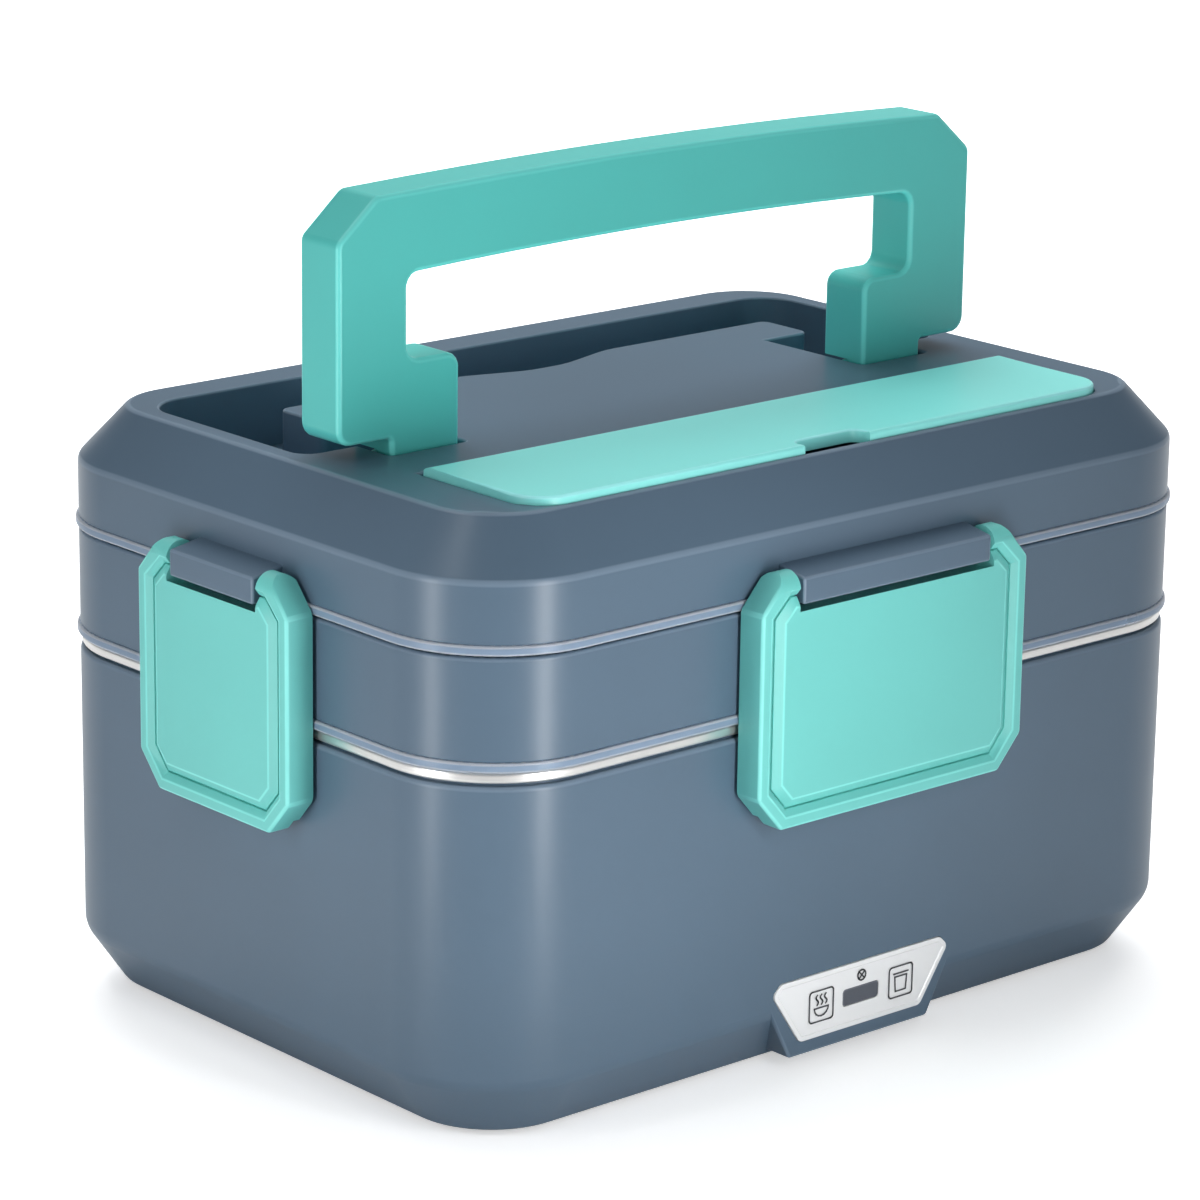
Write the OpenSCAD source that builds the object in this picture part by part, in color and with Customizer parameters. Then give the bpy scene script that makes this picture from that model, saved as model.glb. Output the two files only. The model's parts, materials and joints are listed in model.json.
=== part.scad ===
// Electric lunch box: a heated base, a steel container, an upper food tray and a
// lift-off lid with a folding handle, a cutlery bay and four side latches.
// Millimetres, +Z up. The origin lies on the surface the box stands on, under its centre.
// Most walls are one section swept round the rounded-rectangle plan of the box.

/* [Body] */
// Outside length of the base, the tray and the lid
body_l = 240; // [236:1:260]
// Outside width of the base, the tray and the lid
body_w = 170; // [168:1:190]
// Corner radius of the plan
corner_r = 30; // [27:1:34]
// Wall of the moulded shells
wall = 2.6; // [2.2:0.1:3]
// Rounding of the moulded shells' outer edges
edge_r = 1.4; // [0.8:0.1:1.8]
// Gap between stacked pieces that rest on each other
seat_gap = 0.2; // [0.1:0.05:0.3]
// Gap round a piece that drops into another
side_gap = 0.3; // [0.2:0.05:0.5]
// Radial clearance of a pin that turns in its bore
pin_gap = 0.05; // [0.02:0.01:0.1]

/* [Base] */
// Height of the base housing
base_h = 86; // [80:1:96]
// Height of the sloped band round the bottom of the housing
foot_slope_h = 14; // [12:1:15]
// How far that band steps in
foot_slope_in = 9.5; // [8:0.5:11]
// How far the rubber feet stand below the housing
foot_h = 1.5; // [1:0.5:3]
// Diameter of a rubber foot
foot_d = 13; // [10:1:16]
// Thickness of the bottom cover
bottom_t = 2.5; // [2:0.1:3]
// Height of the liner floor's underside above the housing's underside
liner_floor_z = 19.5; // [19:0.5:22]
// Wall of the inner liner
liner_t = 1.8; // [1.5:0.1:2.2]
// Thickness of the heating plate
plate_t = 2; // [1.5:0.1:2.5]
// Length of the heating plate
plate_l = 156; // [140:1:164]
// Width of the heating plate
plate_w = 96; // [86:1:100]

/* [Control panel] */
// Width of the panel at its top
panel_top_w = 58; // [50:1:62]
// Width of the panel at its bottom
panel_bottom_w = 40; // [36:1:46]
// Height of the panel
panel_h = 16; // [14:0.5:17]
// Height of the panel's bottom edge above the housing's underside
panel_z = 5.6; // [5:0.1:6]
// Thickness of the panel
panel_t = 1.2; // [1:0.1:1.4]
// How far the panel stands out of its recess
panel_proud = 0.4; // [0.2:0.1:0.6]
// Width of the dark window
window_w = 12; // [10:0.5:14]
// Height of the dark window
window_h = 4.4; // [3.6:0.1:5]

/* [Power inlet] */
// Width of the inlet body
inlet_w = 21; // [20:0.5:23]
// Height of the inlet body
inlet_h = 12; // [11.5:0.25:12.5]
// Width of the socket
socket_w = 16.6; // [16:0.1:17]
// Height of the socket
socket_h = 8.8; // [8.4:0.1:9.2]
// Depth of the socket
socket_depth = 12; // [10:0.5:13]
// Depth of the inlet body
inlet_depth = 16; // [15:0.5:18]
// Spacing of the two contact pins
contact_pitch = 8.6; // [8.4:0.1:8.8]
// Diameter of a contact pin
contact_d = 2.4; // [2.2:0.1:2.6]

/* [Container] */
// Thickness of the container's sheet steel
steel_t = 0.8; // [0.6:0.1:1]
// Diameter of the container's rolled rim
rim_d = 2.1; // [1.8:0.1:2.4]
// How far the rolled rim lies inside the housing's outer face
rim_in = 0.9; // [0.6:0.1:1.2]
// Gap between the container and the liner
container_gap = 0.8; // [0.6:0.1:1.2]
// Radius between the container's wall and its floor
container_floor_r = 8; // [5:1:9]

/* [Upper tray] */
// Height of the tray without its seal
tray_h = 24; // [20:1:30]
// Thickness of the tray floor
tray_floor_t = 2; // [1.6:0.1:2.6]
// Height of each silicone seal
seal_h = 2.8; // [2.4:0.1:3.2]
// Width of each seal inside the outer face
seal_w = 6; // [5:0.5:7]
// How far each seal shows outside the walls
seal_proud = 0.7; // [0.4:0.1:0.9]

/* [Lid] */
// Height of the lid's upright skirt
skirt_h = 14.2; // [14:0.1:17]
// Height of the lid's sloped band
lid_slope_h = 12.8; // [12.4:0.1:14]
// How far the sloped band steps in
lid_slope_in = 12; // [11:0.5:12.5]
// Thickness of the lid's top
lid_top_t = 2.5; // [2:0.1:2.7]
// Thickness of the plate that closes the lid from below
inner_cover_t = 2; // [1.6:0.1:2.2]
// Wall and floor thickness of the handle trough and the cutlery bay
tub_t = 2; // [1.8:0.1:2.2]

/* [Handle] */
// Length of the handle over its legs
handle_l = 203.2; // [202:0.2:205]
// Thickness of the handle from front to back
handle_t = 14.4; // [14:0.1:14.8]
// Height of the handle's corners above its hinge
handle_h = 66.2; // [64:0.2:67]
// Rise of the arch at the middle of the grip
grip_rise = 1.8; // [1:0.1:2]
// Height of the grip at its ends
grip_h = 19.1; // [18:0.1:20.5]
// Width of a leg
leg_w = 20.5; // [19:0.5:22]
// Width of the cut across each upper corner
handle_cut_w = 11.4; // [9:0.2:12]
// Height of the cut across each upper corner
handle_cut_h = 9.8; // [8:0.2:11]
// Height of the legs' outer lower ends above the hinge
leg_end_h = 8.9; // [8.5:0.1:9.5]
// Height of the step above the hinge
step_h = 26.9; // [25.5:0.1:28.5]
// How far the step reaches inwards from the leg
step_in = 15.5; // [14:0.5:16]
// Width of a foot that drops into its slot
handle_foot_w = 20.4; // [19:0.2:21]
// Radius of a foot round the hinge
handle_foot_r = 5.5; // [5.2:0.1:5.6]
// Distance of the hinge behind the middle of the box, negative is in front
handle_hinge_y = -7.5; // [-8:0.1:-7]
// Diameter of a handle pin
handle_pin_d = 3; // [2.5:0.1:3.2]
// Gap round the folded handle
trough_gap = 1.4; // [1.2:0.1:1.6]
// Gap between the folded handle and the trough floor
trough_floor_gap = 1.8; // [1.5:0.1:2]
// Corner radius of the trough
trough_r = 11; // [8:1:13]
// Half width of the finger scoop behind the platform
scoop_w = 24; // [22:1:28]
// Depth of the finger scoop
scoop_d = 5.6; // [4:0.2:7]

/* [Cutlery cover] */
// Length of the cutlery cover
cover_l = 185; // [170:1:187]
// Width of the cutlery cover from front to back
cover_w = 41; // [38:0.5:42]
// Thickness of the cutlery cover
cover_t = 3.2; // [2.8:0.1:3.5]
// How far the cover stands above the lid
cover_proud = 2; // [1.5:0.1:2.2]
// Corner radius of the cover
cover_r = 9; // [6:0.5:10]
// Width of the finger notch
notch_w = 21; // [16:1:26]
// Depth of the finger notch
notch_d = 5; // [4:0.5:6]
// Width of the ledge that the cover rests on
ledge_w = 3; // [2.5:0.1:3.5]
// Depth of the cutlery bay below the lid's top
bay_depth = 18; // [15:0.5:19]
// Diameter of a cover pin
cover_pin_d = 1.6; // [1.4:0.1:1.8]

/* [Latches] */
// Width of the front and back latches
long_latch_w = 86; // [80:1:90]
// Width of the left and right latches
short_latch_w = 57; // [54:1:60]
// Height of a latch
latch_h = 61; // [60:0.5:62]
// Width of each ear beside the hinge bar
ear_w = 12.2; // [11.5:0.1:13]
// Distance of the hinge from the wall
hinge_out = 4.5; // [4.5:0.1:5]
// Radius of an ear round the hinge, and the way from hinge to outer face
ear_r = 4.2; // [4:0.1:4.3]
// Height of the hinge above the lid's lower edge
hinge_up = 2.4; // [2.2:0.1:2.6]
// Diameter of a latch pin
latch_pin_d = 2; // [1.8:0.1:2.2]
// Gap between a latch and the wall
latch_wall_gap = 1.2; // [1.1:0.05:1.4]
// Thickness of a latch's face
latch_t = 2.5; // [2:0.1:2.8]
// Thickness of a latch's rim
latch_rim_t = 2.2; // [1.8:0.1:2.6]
// Width of the cut across a latch's corners
latch_cut_w = 7.4; // [6:0.2:8]
// Height of the cut across a latch's corners
latch_cut_h = 8.4; // [7:0.2:9]
// Distance of the groove from the latch's edge
groove_in = 4.4; // [4:0.1:5]
// Width of the groove
groove_w = 1.5; // [1:0.1:2]
// Depth of the groove
groove_depth = 0.8; // [0.5:0.1:1]
// How far the catch ledge stands out of the base's wall
catch_out = 2.6; // [2.2:0.1:2.8]
// Height of the catch ledge and of the catch rib
catch_h = 2.8; // [2.4:0.1:3]

/* [Hidden] */

$fn = 48;
body_colour = "#5f7186";
teal = "#6fcfc2";
steel = "#d5d7d8";
clear_silicone = "#c9d6e4";
dark = "#30363c";
eps = 0.01;
// How far a cut reaches past the face that it opens
past = 1;
// How far a piece reaches into the wall that it is moulded on
root = 1;

// Heights of the stack, from the surface the box stands on
base_z = foot_h;
base_top_z = base_z + base_h;
rim_z = base_top_z + seat_gap;
rim_top_z = rim_z + rim_d;
tray_seal_z = rim_top_z + seat_gap;
tray_z = tray_seal_z + seal_h;
tray_top_z = tray_z + tray_h;
lid_seal_z = tray_top_z + seat_gap;
lid_z = lid_seal_z + seal_h;
lid_slope_z = lid_z + skirt_h;
lid_top_z = lid_slope_z + lid_slope_h;

// Base
foot_slope_z = base_z + foot_slope_h;
bottom_land = 1.4;
flange_reach = 8;
flange_in = foot_slope_in + flange_reach;
flange_z = base_z + bottom_t + seat_gap;
flange_t = 2;
liner_z = base_z + liner_floor_z;
plate_z = liner_z + liner_t;
plate_top_z = plate_z + plate_t;
liner_rest_h = 2.3;
liner_rest_w = 2;
liner_rim_t = 2.6;
liner_top_z = base_top_z - seat_gap;
liner_rest_z = liner_top_z - liner_rim_t - seat_gap;
liner_in = 8.4;
liner_floor_edge = 8;
liner_floor_in = liner_in + liner_floor_edge;
liner_edge_r = 0.8;
liner_out_r = 4;
liner_in_r = 3;
foot_inner_rise = 0.8;
plate_r = 14;
plate_lap = 8;
screw_d = 3;
screw_head_d = 5.6;
screw_head_h = 1.8;
screw_head_r = 0.6;
head_seat_t = 0.65;
bottom_screw_x = 70;
bottom_screw_in = 4.2;
bottom_screw_y = body_w / 2 - foot_slope_in - bottom_screw_in;
bottom_screw_len = 11;
bottom_screw_gap = 1;
boss_d = 7;
foot_end_in = 22;
foot_side_in = 16;
foot_x = body_l / 2 - foot_slope_in - foot_end_in;
foot_y = body_w / 2 - foot_slope_in - foot_side_in;
foot_sink = 0.5;
foot_taper = 0.4;
foot_edge_r = 0.5;
vent_w = 2.4;
vent_l = 26;
vent_pitch = 7.2;
vent_rows = 3;
plate_screw_x = plate_l / 2 - plate_lap / 2;
plate_screw_in = 18;
plate_screw_y = plate_w / 2 - plate_screw_in;

// Control panel and its boss
panel_low_z = base_z + panel_z;
panel_top_z = panel_low_z + panel_h;
panel_cut = 2.6;
panel_gap = 0.15;
boss_margin_top = 4.4;
boss_margin_low = 2.9;
boss_rise = 8;
boss_lift = 2;
panel_boss_top = panel_top_w + 2 * boss_margin_top;
panel_boss_low = panel_bottom_w + 2 * boss_margin_low;
panel_top_r = 1.2;
panel_low_r = 1.6;
panel_low_grow = 0.6;
window_gap = 0.1;
window_rise = 7.6;
window_z = panel_low_z + window_rise;
board_w = 38;
board_h = 12;
board_t = 1.6;
board_rise = 6.2;
board_z = base_z + board_rise;
board_clear = 0.8;
board_y = -body_w / 2 + foot_slope_in - board_clear;
board_hole_d = 1.6;
post_x = 14;
post_d = 4;
led_d = 3;
led_gap = 0.6;
led_flange_d = 4;
led_flange_t = 1;

// Power inlet
inlet_rise = 11.8;
inlet_z = base_z + inlet_rise;
inlet_boss_margin = 8;
inlet_boss_flare = 8;
inlet_boss_w = inlet_w + 2 * inlet_boss_margin;
inlet_boss_top = inlet_boss_w + inlet_boss_flare;
inlet_face_gap = 0.5;
inlet_fit = 0.15;
contact_len = 9;
contact_tail = 3;
inlet_back_y = body_w / 2 - inlet_face_gap;
inlet_r = 4;

// Heaters and leads
heater_l = 52;
heater_w = 32;
heater_h = 5.5;
heater_r = 2;
heater_x = 34;
fuse_d = 5;
fuse_l = 14;
fuse_cap_l = 2;
lead_d = 1.8;
lead_x = 12;

// Container
container_in = liner_in + liner_t + container_gap;
container_z = plate_top_z + side_gap;
rim_bend_r = 1.6;

// Tray, seals and lid
seal_flat = 0.4;
tray_floor_edge = 4;
tray_floor_in = wall + tray_floor_edge;
tray_floor_r = 3;
low_edge_r = 0.8;
inner_edge_r = 0.6;
lid_bend_extra = 0.6;
lid_bend_r = edge_r + lid_bend_extra;
lid_inner_drop = 0.8;
weld_post_d = 6;
weld_post_trough_in = 9;
weld_post_bay_in = 12;

// Handle
handle_hinge_z = lid_top_z - handle_foot_r;
handle_front_y = handle_hinge_y - handle_foot_r;
handle_back_y = handle_front_y + handle_t;
handle_reach = handle_h + grip_rise;
handle_half = handle_l / 2;
leg_half = handle_half - leg_w;
step_half = leg_half - step_in;
handle_foot_half = step_half + handle_foot_w;
leg_round = 4;
step_round = 3.5;
corner_round = 2.5;
trough_z = handle_hinge_z - (handle_t - handle_foot_r) - trough_floor_gap;
trough_half = handle_half + trough_gap;
trough_end_r = 5;
slot_lap = 4;
scoop_flare = 18;
scoop_r = 20;
platform_r = 2.5;
platform_step_r = 2;
foot_lap = 2;
foot_back_angle = 45;
// How far the lower ends of the legs reach forward, at the lid's top, while the handle folds
leg_end_sweep = sqrt(leg_end_h * leg_end_h - handle_foot_r * handle_foot_r);
trough_back_y = handle_hinge_y + handle_reach + trough_gap;
trough_front_y = handle_hinge_y + leg_end_sweep - trough_gap;
slot_front_y = handle_front_y - trough_gap;
slot_in = step_half - trough_gap;
slot_out = handle_foot_half + trough_gap;
platform_half = leg_half - trough_gap;
platform_step_y = handle_hinge_y + norm([step_h, handle_t - handle_foot_r]) + 2 * side_gap;
platform_back_y = handle_hinge_y + handle_h - grip_h - trough_gap;
handle_pin_x = slot_in - tub_t + side_gap;
handle_pin_len = slot_out - slot_in + 2 * (tub_t - side_gap);

// Cutlery cover and bay
cover_front_in = 0.9;
cover_front_y = -body_w / 2 + lid_slope_in + cover_front_in;
cover_back_y = cover_front_y + cover_w;
cover_top_z = lid_top_z + cover_proud;
cover_z = cover_top_z - cover_t;
cover_hinge_r = 4;
cover_hinge_y = cover_back_y - cover_hinge_r;
cover_hinge_z = cover_top_z - cover_hinge_r;
cover_barrel_r = 2;
bay_half = cover_l / 2 - ledge_w;
bay_z = lid_top_z - bay_depth;
bay_front_y = cover_front_y + ledge_w;
bay_back_y = cover_back_y + side_gap;
cover_pin_len = 5;
cover_pin_x = cover_l / 2 - ledge_w + 2 * side_gap;
cover_back_r = cover_r / 4;
pin_block_w = 8;
pin_block_front = 3;
pin_block_up = 4;

// Latches
hinge_z = lid_z + hinge_up;
latch_out = hinge_out + ear_r;
latch_top_z = hinge_z + ear_r;
latch_low_z = latch_top_z - latch_h;
bar_drop = 1.2;
bar_low_z = lid_z - bar_drop;
bar_front_rise = 2.8;
bar_back_rise = 4.5;
bar_front_top_z = hinge_z + bar_front_rise;
bar_back_top_z = hinge_z + bar_back_rise;
bar_ear_gap = 0.4;
bar_panel_gap = 2.6;
bar_edge_r = 0.6;
latch_corner_r = 1;
latch_cut_shrink = 0.42;
groove_top_gap = 2;
catch_z = latch_low_z + latch_rim_t + catch_h + 2 * side_gap;
rib_z = catch_z - catch_h - side_gap;
catch_side = 4;
pin_end_gap = 0.5;
ear_cut_rise = hinge_z - (latch_top_z - latch_cut_h);
pin_cover_t = 1;
pin_edge = latch_cut_w * ear_cut_rise / latch_cut_h + pin_cover_t;

// ---- plan and section helpers ----

// Direction of a vector, one long
function unit(v) = v / norm(v);

// Points of an arc that rounds corner b between a and c
function corner(a, b, c, r, n) =
    r <= 0 ? [b] :
    let (u = unit(a - b), v = unit(c - b), half = acos(u * v) / 2)
    let (o = b + unit(u + v) * r / sin(half))
    let (p = b + u * r / tan(half) - o, q = b + v * r / tan(half) - o)
    [for (i = [0:n]) o + r * unit(p * (n - i) + q * i)];

// An outline given as [x, y, corner radius], with its corners rounded
function soft(pts, n = 4) = [
    for (i = [0:len(pts) - 1])
        let (a = pts[(i + len(pts) - 1) % len(pts)], b = pts[i], c = pts[(i + 1) % len(pts)])
        each corner([a[0], a[1]], [b[0], b[1]], [c[0], c[1]], b[2], n)];

// An outline and its mirror image across x = 0, joined into one outline
function both_sides(pts) = concat(pts, [for (i = [len(pts) - 1:-1:0]) [-pts[i][0], pts[i][1], pts[i][2]]]);

// A section swept round the plan; its x runs out from the corners' centres
module around() {
    flat_l = body_l - 2 * corner_r;
    flat_w = body_w - 2 * corner_r;
    for (turn = [0:3]) {
        sx = turn == 0 || turn == 3 ? 1 : -1;
        sy = turn < 2 ? 1 : -1;
        translate([sx * flat_l / 2, sy * flat_w / 2, 0])
            rotate([0, 0, turn * 90])
                rotate_extrude(angle = 90) children();
    }
    for (side = [0, 1])
        rotate([0, 0, side * 180]) {
            translate([-flat_l / 2, flat_w / 2, 0])
                rotate([90, 0, 90]) linear_extrude(flat_l) children();
            translate([flat_l / 2, flat_w / 2, 0])
                rotate([90, 0, 0]) linear_extrude(flat_w) children();
        }
}

// A flat plate of the plan's shape, set in from its outside
module slab(inset, z, h) {
    r = corner_r - inset;
    translate([0, 0, z]) linear_extrude(h) {
        square([body_l - 2 * corner_r, body_w - 2 * inset], center = true);
        square([body_l - 2 * inset, body_w - 2 * corner_r], center = true);
        for (sx = [-1, 1])
            for (sy = [-1, 1])
                translate([sx * (body_l / 2 - corner_r), sy * (body_w / 2 - corner_r)]) circle(r);
    }
}

// A rounded rectangular plate
module plate(l, w, r, z, h) {
    translate([0, 0, z]) linear_extrude(h) {
        square([l - 2 * r, w], center = true);
        square([l, w - 2 * r], center = true);
        for (sx = [-1, 1])
            for (sy = [-1, 1])
                translate([sx * (l / 2 - r), sy * (w / 2 - r)]) circle(r);
    }
}

// An outline in x and z, extruded between two distances in front of the box's middle
module front_slice(pts, y0, y1) {
    translate([0, y1, 0]) rotate([90, 0, 0]) linear_extrude(y1 - y0) polygon(pts);
}

// An outline in y and z, extruded along x
module side_slice(pts, x0, x1) {
    translate([x0, 0, 0]) rotate([90, 0, 90]) linear_extrude(x1 - x0) polygon(pts);
}

// A rod along x
module x_rod(d, x0, x1, y, z) {
    translate([x0, y, z]) rotate([0, 90, 0]) cylinder(d = d, h = x1 - x0);
}

// A rod along y
module y_rod(d, x, y0, y1, z) {
    translate([x, y1, z]) rotate([90, 0, 0]) cylinder(d = d, h = y1 - y0);
}

// Children turned to each of the four corners by mirroring
module four_corners() {
    for (sx = [0, 1])
        for (sy = [0, 1])
            mirror([sx, 0, 0]) mirror([0, sy, 0]) children();
}

// Places a latch, drawn at the front wall, on each wall of the given pair
module on_wall(turn) {
    reach = turn % 2 == 0 ? body_w / 2 : body_l / 2;
    rotate([0, 0, turn * 90]) translate([0, -reach, 0]) children();
}

function latch_width(turn) = turn % 2 == 0 ? long_latch_w : short_latch_w;

// ---- base ----

// Outline of the panel, grown by a margin
function panel_outline(grow) =
    let (lift = panel_cut, top = panel_top_w / 2 + grow, low = panel_bottom_w / 2 + grow * panel_low_grow)
    soft(both_sides([
        [top - lift, panel_top_z + grow, panel_top_r],
        [top, panel_top_z - lift, panel_top_r],
        [low, panel_low_z - grow, panel_low_r]]));

// Outline of a boss that carries the wall's plane down over the sloped band
function boss_outline(top_w, low_w, shrink) = [
    [top_w / 2 - shrink, foot_slope_z + boss_rise - shrink],
    [-top_w / 2 + shrink, foot_slope_z + boss_rise - shrink],
    [-low_w / 2 + shrink, base_z + boss_lift + shrink],
    [low_w / 2 - shrink, base_z + boss_lift + shrink]];

module base_section() {
    slant = foot_slope_in / foot_slope_h;
    inner_top = foot_slope_z + foot_inner_rise;
    inner_low = flange_z + flange_t;
    inner_x = corner_r - wall - slant * (inner_top - inner_low);
    polygon(soft([
        [corner_r - foot_slope_in, base_z, edge_r],
        [corner_r, foot_slope_z, edge_r],
        [corner_r, base_top_z, edge_r],
        [corner_r - wall, base_top_z, 0],
        [corner_r - wall, liner_rest_z, 0],
        [corner_r - wall - liner_rest_w, liner_rest_z, 0],
        [corner_r - wall, liner_rest_z - liner_rest_h, 0],
        [corner_r - wall, inner_top, 0],
        [inner_x, inner_low, 0],
        [corner_r - flange_in, inner_low, 0],
        [corner_r - flange_in, flange_z, 0],
        [corner_r - foot_slope_in - bottom_land, flange_z, 0],
        [corner_r - foot_slope_in - bottom_land, base_z, 0]]));
}

module catch_ledge(turn) {
    half = latch_width(turn) / 2 - latch_rim_t - catch_side;
    on_wall(turn) translate([-half, -catch_out, catch_z]) cube([2 * half, catch_out + root, catch_h]);
}

module base_housing() {
    front_y = -body_w / 2;
    boss_back = foot_slope_in + root;
    color(body_colour) difference() {
        union() {
            around() base_section();
            front_slice(boss_outline(panel_boss_top, panel_boss_low, 0), front_y, front_y + boss_back);
            front_slice(boss_outline(inlet_boss_top, inlet_boss_w, 0), -front_y - boss_back, -front_y);
            four_corners()
                translate([bottom_screw_x, bottom_screw_y, flange_z])
                    cylinder(d = boss_d, h = bottom_screw_len);
            for (turn = [0:3]) catch_ledge(turn);
        }
        difference() {
            union() {
                front_slice(boss_outline(panel_boss_top, panel_boss_low, wall),
                    front_y + wall, front_y + boss_back + eps);
                front_slice(boss_outline(inlet_boss_top, inlet_boss_w, wall),
                    -front_y - boss_back - eps, -front_y - wall);
            }
            for (sx = [-1, 1])
                y_rod(post_d, sx * post_x, front_y + wall - eps, board_y, board_z + board_h / 2);
        }
        front_slice(panel_outline(panel_gap), front_y - past, front_y + panel_t - panel_proud);
        translate([-window_w / 2, front_y, window_z - window_h / 2]) cube([window_w, wall + past, window_h]);
        slab(liner_in - side_gap, liner_z - side_gap, foot_slope_z + boss_rise + past - liner_z);
        translate([0, -front_y, inlet_z]) rotate([90, 0, 0])
            plate(inlet_w + 2 * inlet_fit, inlet_h + 2 * inlet_fit, inlet_r, -past, inlet_depth);
        four_corners()
            translate([bottom_screw_x, bottom_screw_y, flange_z - past])
                cylinder(d = screw_d + 2 * pin_gap, h = bottom_screw_len);
    }
}

module inner_liner() {
    color("#aeb6bd") difference() {
        union() {
            around() polygon(soft([
                [corner_r - wall - side_gap, liner_top_z - liner_rim_t, 0],
                [corner_r - wall - side_gap, liner_top_z, liner_edge_r],
                [corner_r - liner_in - liner_t, liner_top_z, liner_edge_r],
                [corner_r - liner_in - liner_t, plate_z, liner_in_r],
                [corner_r - liner_floor_in, plate_z, 0],
                [corner_r - liner_floor_in, liner_z, 0],
                [corner_r - liner_in, liner_z, liner_out_r],
                [corner_r - liner_in, liner_top_z - liner_rim_t, 0]]));
            slab(liner_floor_in, liner_z, liner_t);
        }
        plate(plate_l - 2 * plate_lap, plate_w - 2 * plate_lap, plate_r - plate_lap / 2,
            liner_z - past, liner_t + 2 * past);
        four_corners()
            translate([plate_screw_x, plate_screw_y, liner_z - past])
                cylinder(d = screw_d + 2 * pin_gap, h = liner_t + 2 * past);
    }
}

module heating_plate() {
    color("#c3c6c9") difference() {
        plate(plate_l, plate_w, plate_r, plate_z, plate_t);
        four_corners()
            translate([plate_screw_x, plate_screw_y, plate_z - past])
                cylinder(d = screw_d + 2 * pin_gap, h = plate_t + 2 * past);
    }
}

module ptc_heaters() {
    color("#b9b3a6")
        for (sx = [-1, 1])
            translate([sx * heater_x, 0, plate_z - heater_h])
                plate(heater_l, heater_w, heater_r, 0, heater_h);
}

module thermal_fuse() {
    fuse_z = plate_z - fuse_d / 2;
    color("#d8d2c2") {
        y_rod(fuse_d, 0, -fuse_l / 2, fuse_l / 2, fuse_z);
        for (sy = [-1, 1])
            translate([0, sy * (fuse_l / 2 + fuse_cap_l / 2), 0])
                y_rod(fuse_d / 2, 0, -fuse_cap_l / 2 - eps, fuse_cap_l / 2 + eps, fuse_z);
    }
}

// Pan-head screw with its head down and its thread up
module screw(z, len) {
    translate([0, 0, z]) {
        cylinder(d = screw_d, h = len);
        rotate_extrude() polygon(soft([
            [0, -screw_head_h, 0],
            [screw_head_d / 2, -screw_head_h, screw_head_r],
            [screw_head_d / 2, 0, 0],
            [0, 0, 0]]));
    }
}

module plate_screws() {
    color(steel)
        four_corners()
            translate([plate_screw_x, plate_screw_y, 0]) screw(liner_z, liner_t + plate_t);
}

module control_board() {
    color("#2f6b45") difference() {
        translate([-board_w / 2, board_y, board_z]) cube([board_w, board_t, board_h]);
        for (sx = [-1, 1])
            y_rod(board_hole_d, sx * post_x, board_y - past, board_y + board_t + past, board_z + board_h / 2);
    }
}

module indicator_led() {
    dome_y = -body_w / 2 + wall + led_gap;
    color("#f2e6c8") {
        y_rod(led_d, 0, dome_y + led_d / 2, board_y, window_z);
        translate([0, dome_y + led_d / 2, window_z]) sphere(d = led_d);
        y_rod(led_flange_d, 0, board_y - led_flange_t, board_y, window_z);
    }
}

module control_panel() {
    front_y = -body_w / 2 - panel_proud;
    color("#f4f5f6") difference() {
        front_slice(panel_outline(0), front_y, front_y + panel_t);
        translate([-window_w / 2, front_y - past, window_z - window_h / 2])
            cube([window_w, panel_t + 2 * past, window_h]);
    }
}

module indicator_window() {
    half_w = window_w / 2 - window_gap;
    half_h = window_h / 2 - window_gap;
    color("#4b5868") translate([-half_w, -body_w / 2 - panel_proud / 2, window_z - half_h])
        cube([2 * half_w, wall, 2 * half_h]);
}

module power_inlet() {
    color(dark) translate([0, inlet_back_y, inlet_z]) rotate([90, 0, 0]) difference() {
        plate(inlet_w, inlet_h, inlet_r, 0, inlet_depth);
        plate(socket_w, socket_h, socket_h / 2 - eps, -past, socket_depth + past);
        for (sx = [-1, 1])
            translate([sx * contact_pitch / 2, 0, 0]) cylinder(d = contact_d, h = inlet_depth + past);
    }
}

module inlet_pins() {
    color(steel)
        for (sx = [-1, 1])
            y_rod(contact_d - 2 * pin_gap, sx * contact_pitch / 2, inlet_back_y - inlet_depth - contact_tail,
                inlet_back_y - socket_depth + contact_len, inlet_z);
}

// Mains leads from the contact pins to the board, and heater leads from the board to the heaters
module internal_leads() {
    board_back_y = board_y + board_t;
    contact_y = inlet_back_y - inlet_depth - contact_tail;
    heater_lead_z = plate_z - heater_h - lead_d / 2;
    color("#a83232")
        for (sx = [-1, 1]) {
            y_rod(lead_d, sx * contact_pitch / 2, board_back_y, contact_y, inlet_z);
            y_rod(lead_d, sx * lead_x, board_back_y, -heater_w / 4, heater_lead_z);
        }
}

module bottom_cover() {
    inset = foot_slope_in + bottom_land + seat_gap;
    color("#55667a") difference() {
        slab(inset, base_z, bottom_t);
        four_corners() {
            translate([bottom_screw_x, bottom_screw_y, base_z - past]) {
                cylinder(d = screw_d + 2 * pin_gap, h = bottom_t + 2 * past);
                cylinder(d = screw_head_d + 2 * side_gap, h = past + bottom_t - head_seat_t);
            }
            translate([foot_x, foot_y, base_z - past])
                cylinder(d = foot_d + 2 * side_gap, h = past + foot_sink);
        }
        for (row = [-vent_rows:vent_rows])
            translate([row * vent_pitch - vent_w / 2, -vent_l / 2, base_z - past])
                cube([vent_w, vent_l, bottom_t + 2 * past]);
    }
}

module bottom_screws() {
    head_z = base_z + bottom_t - head_seat_t;
    color(steel)
        four_corners()
            translate([bottom_screw_x, bottom_screw_y, 0]) screw(head_z, bottom_screw_len - bottom_screw_gap);
}

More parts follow.
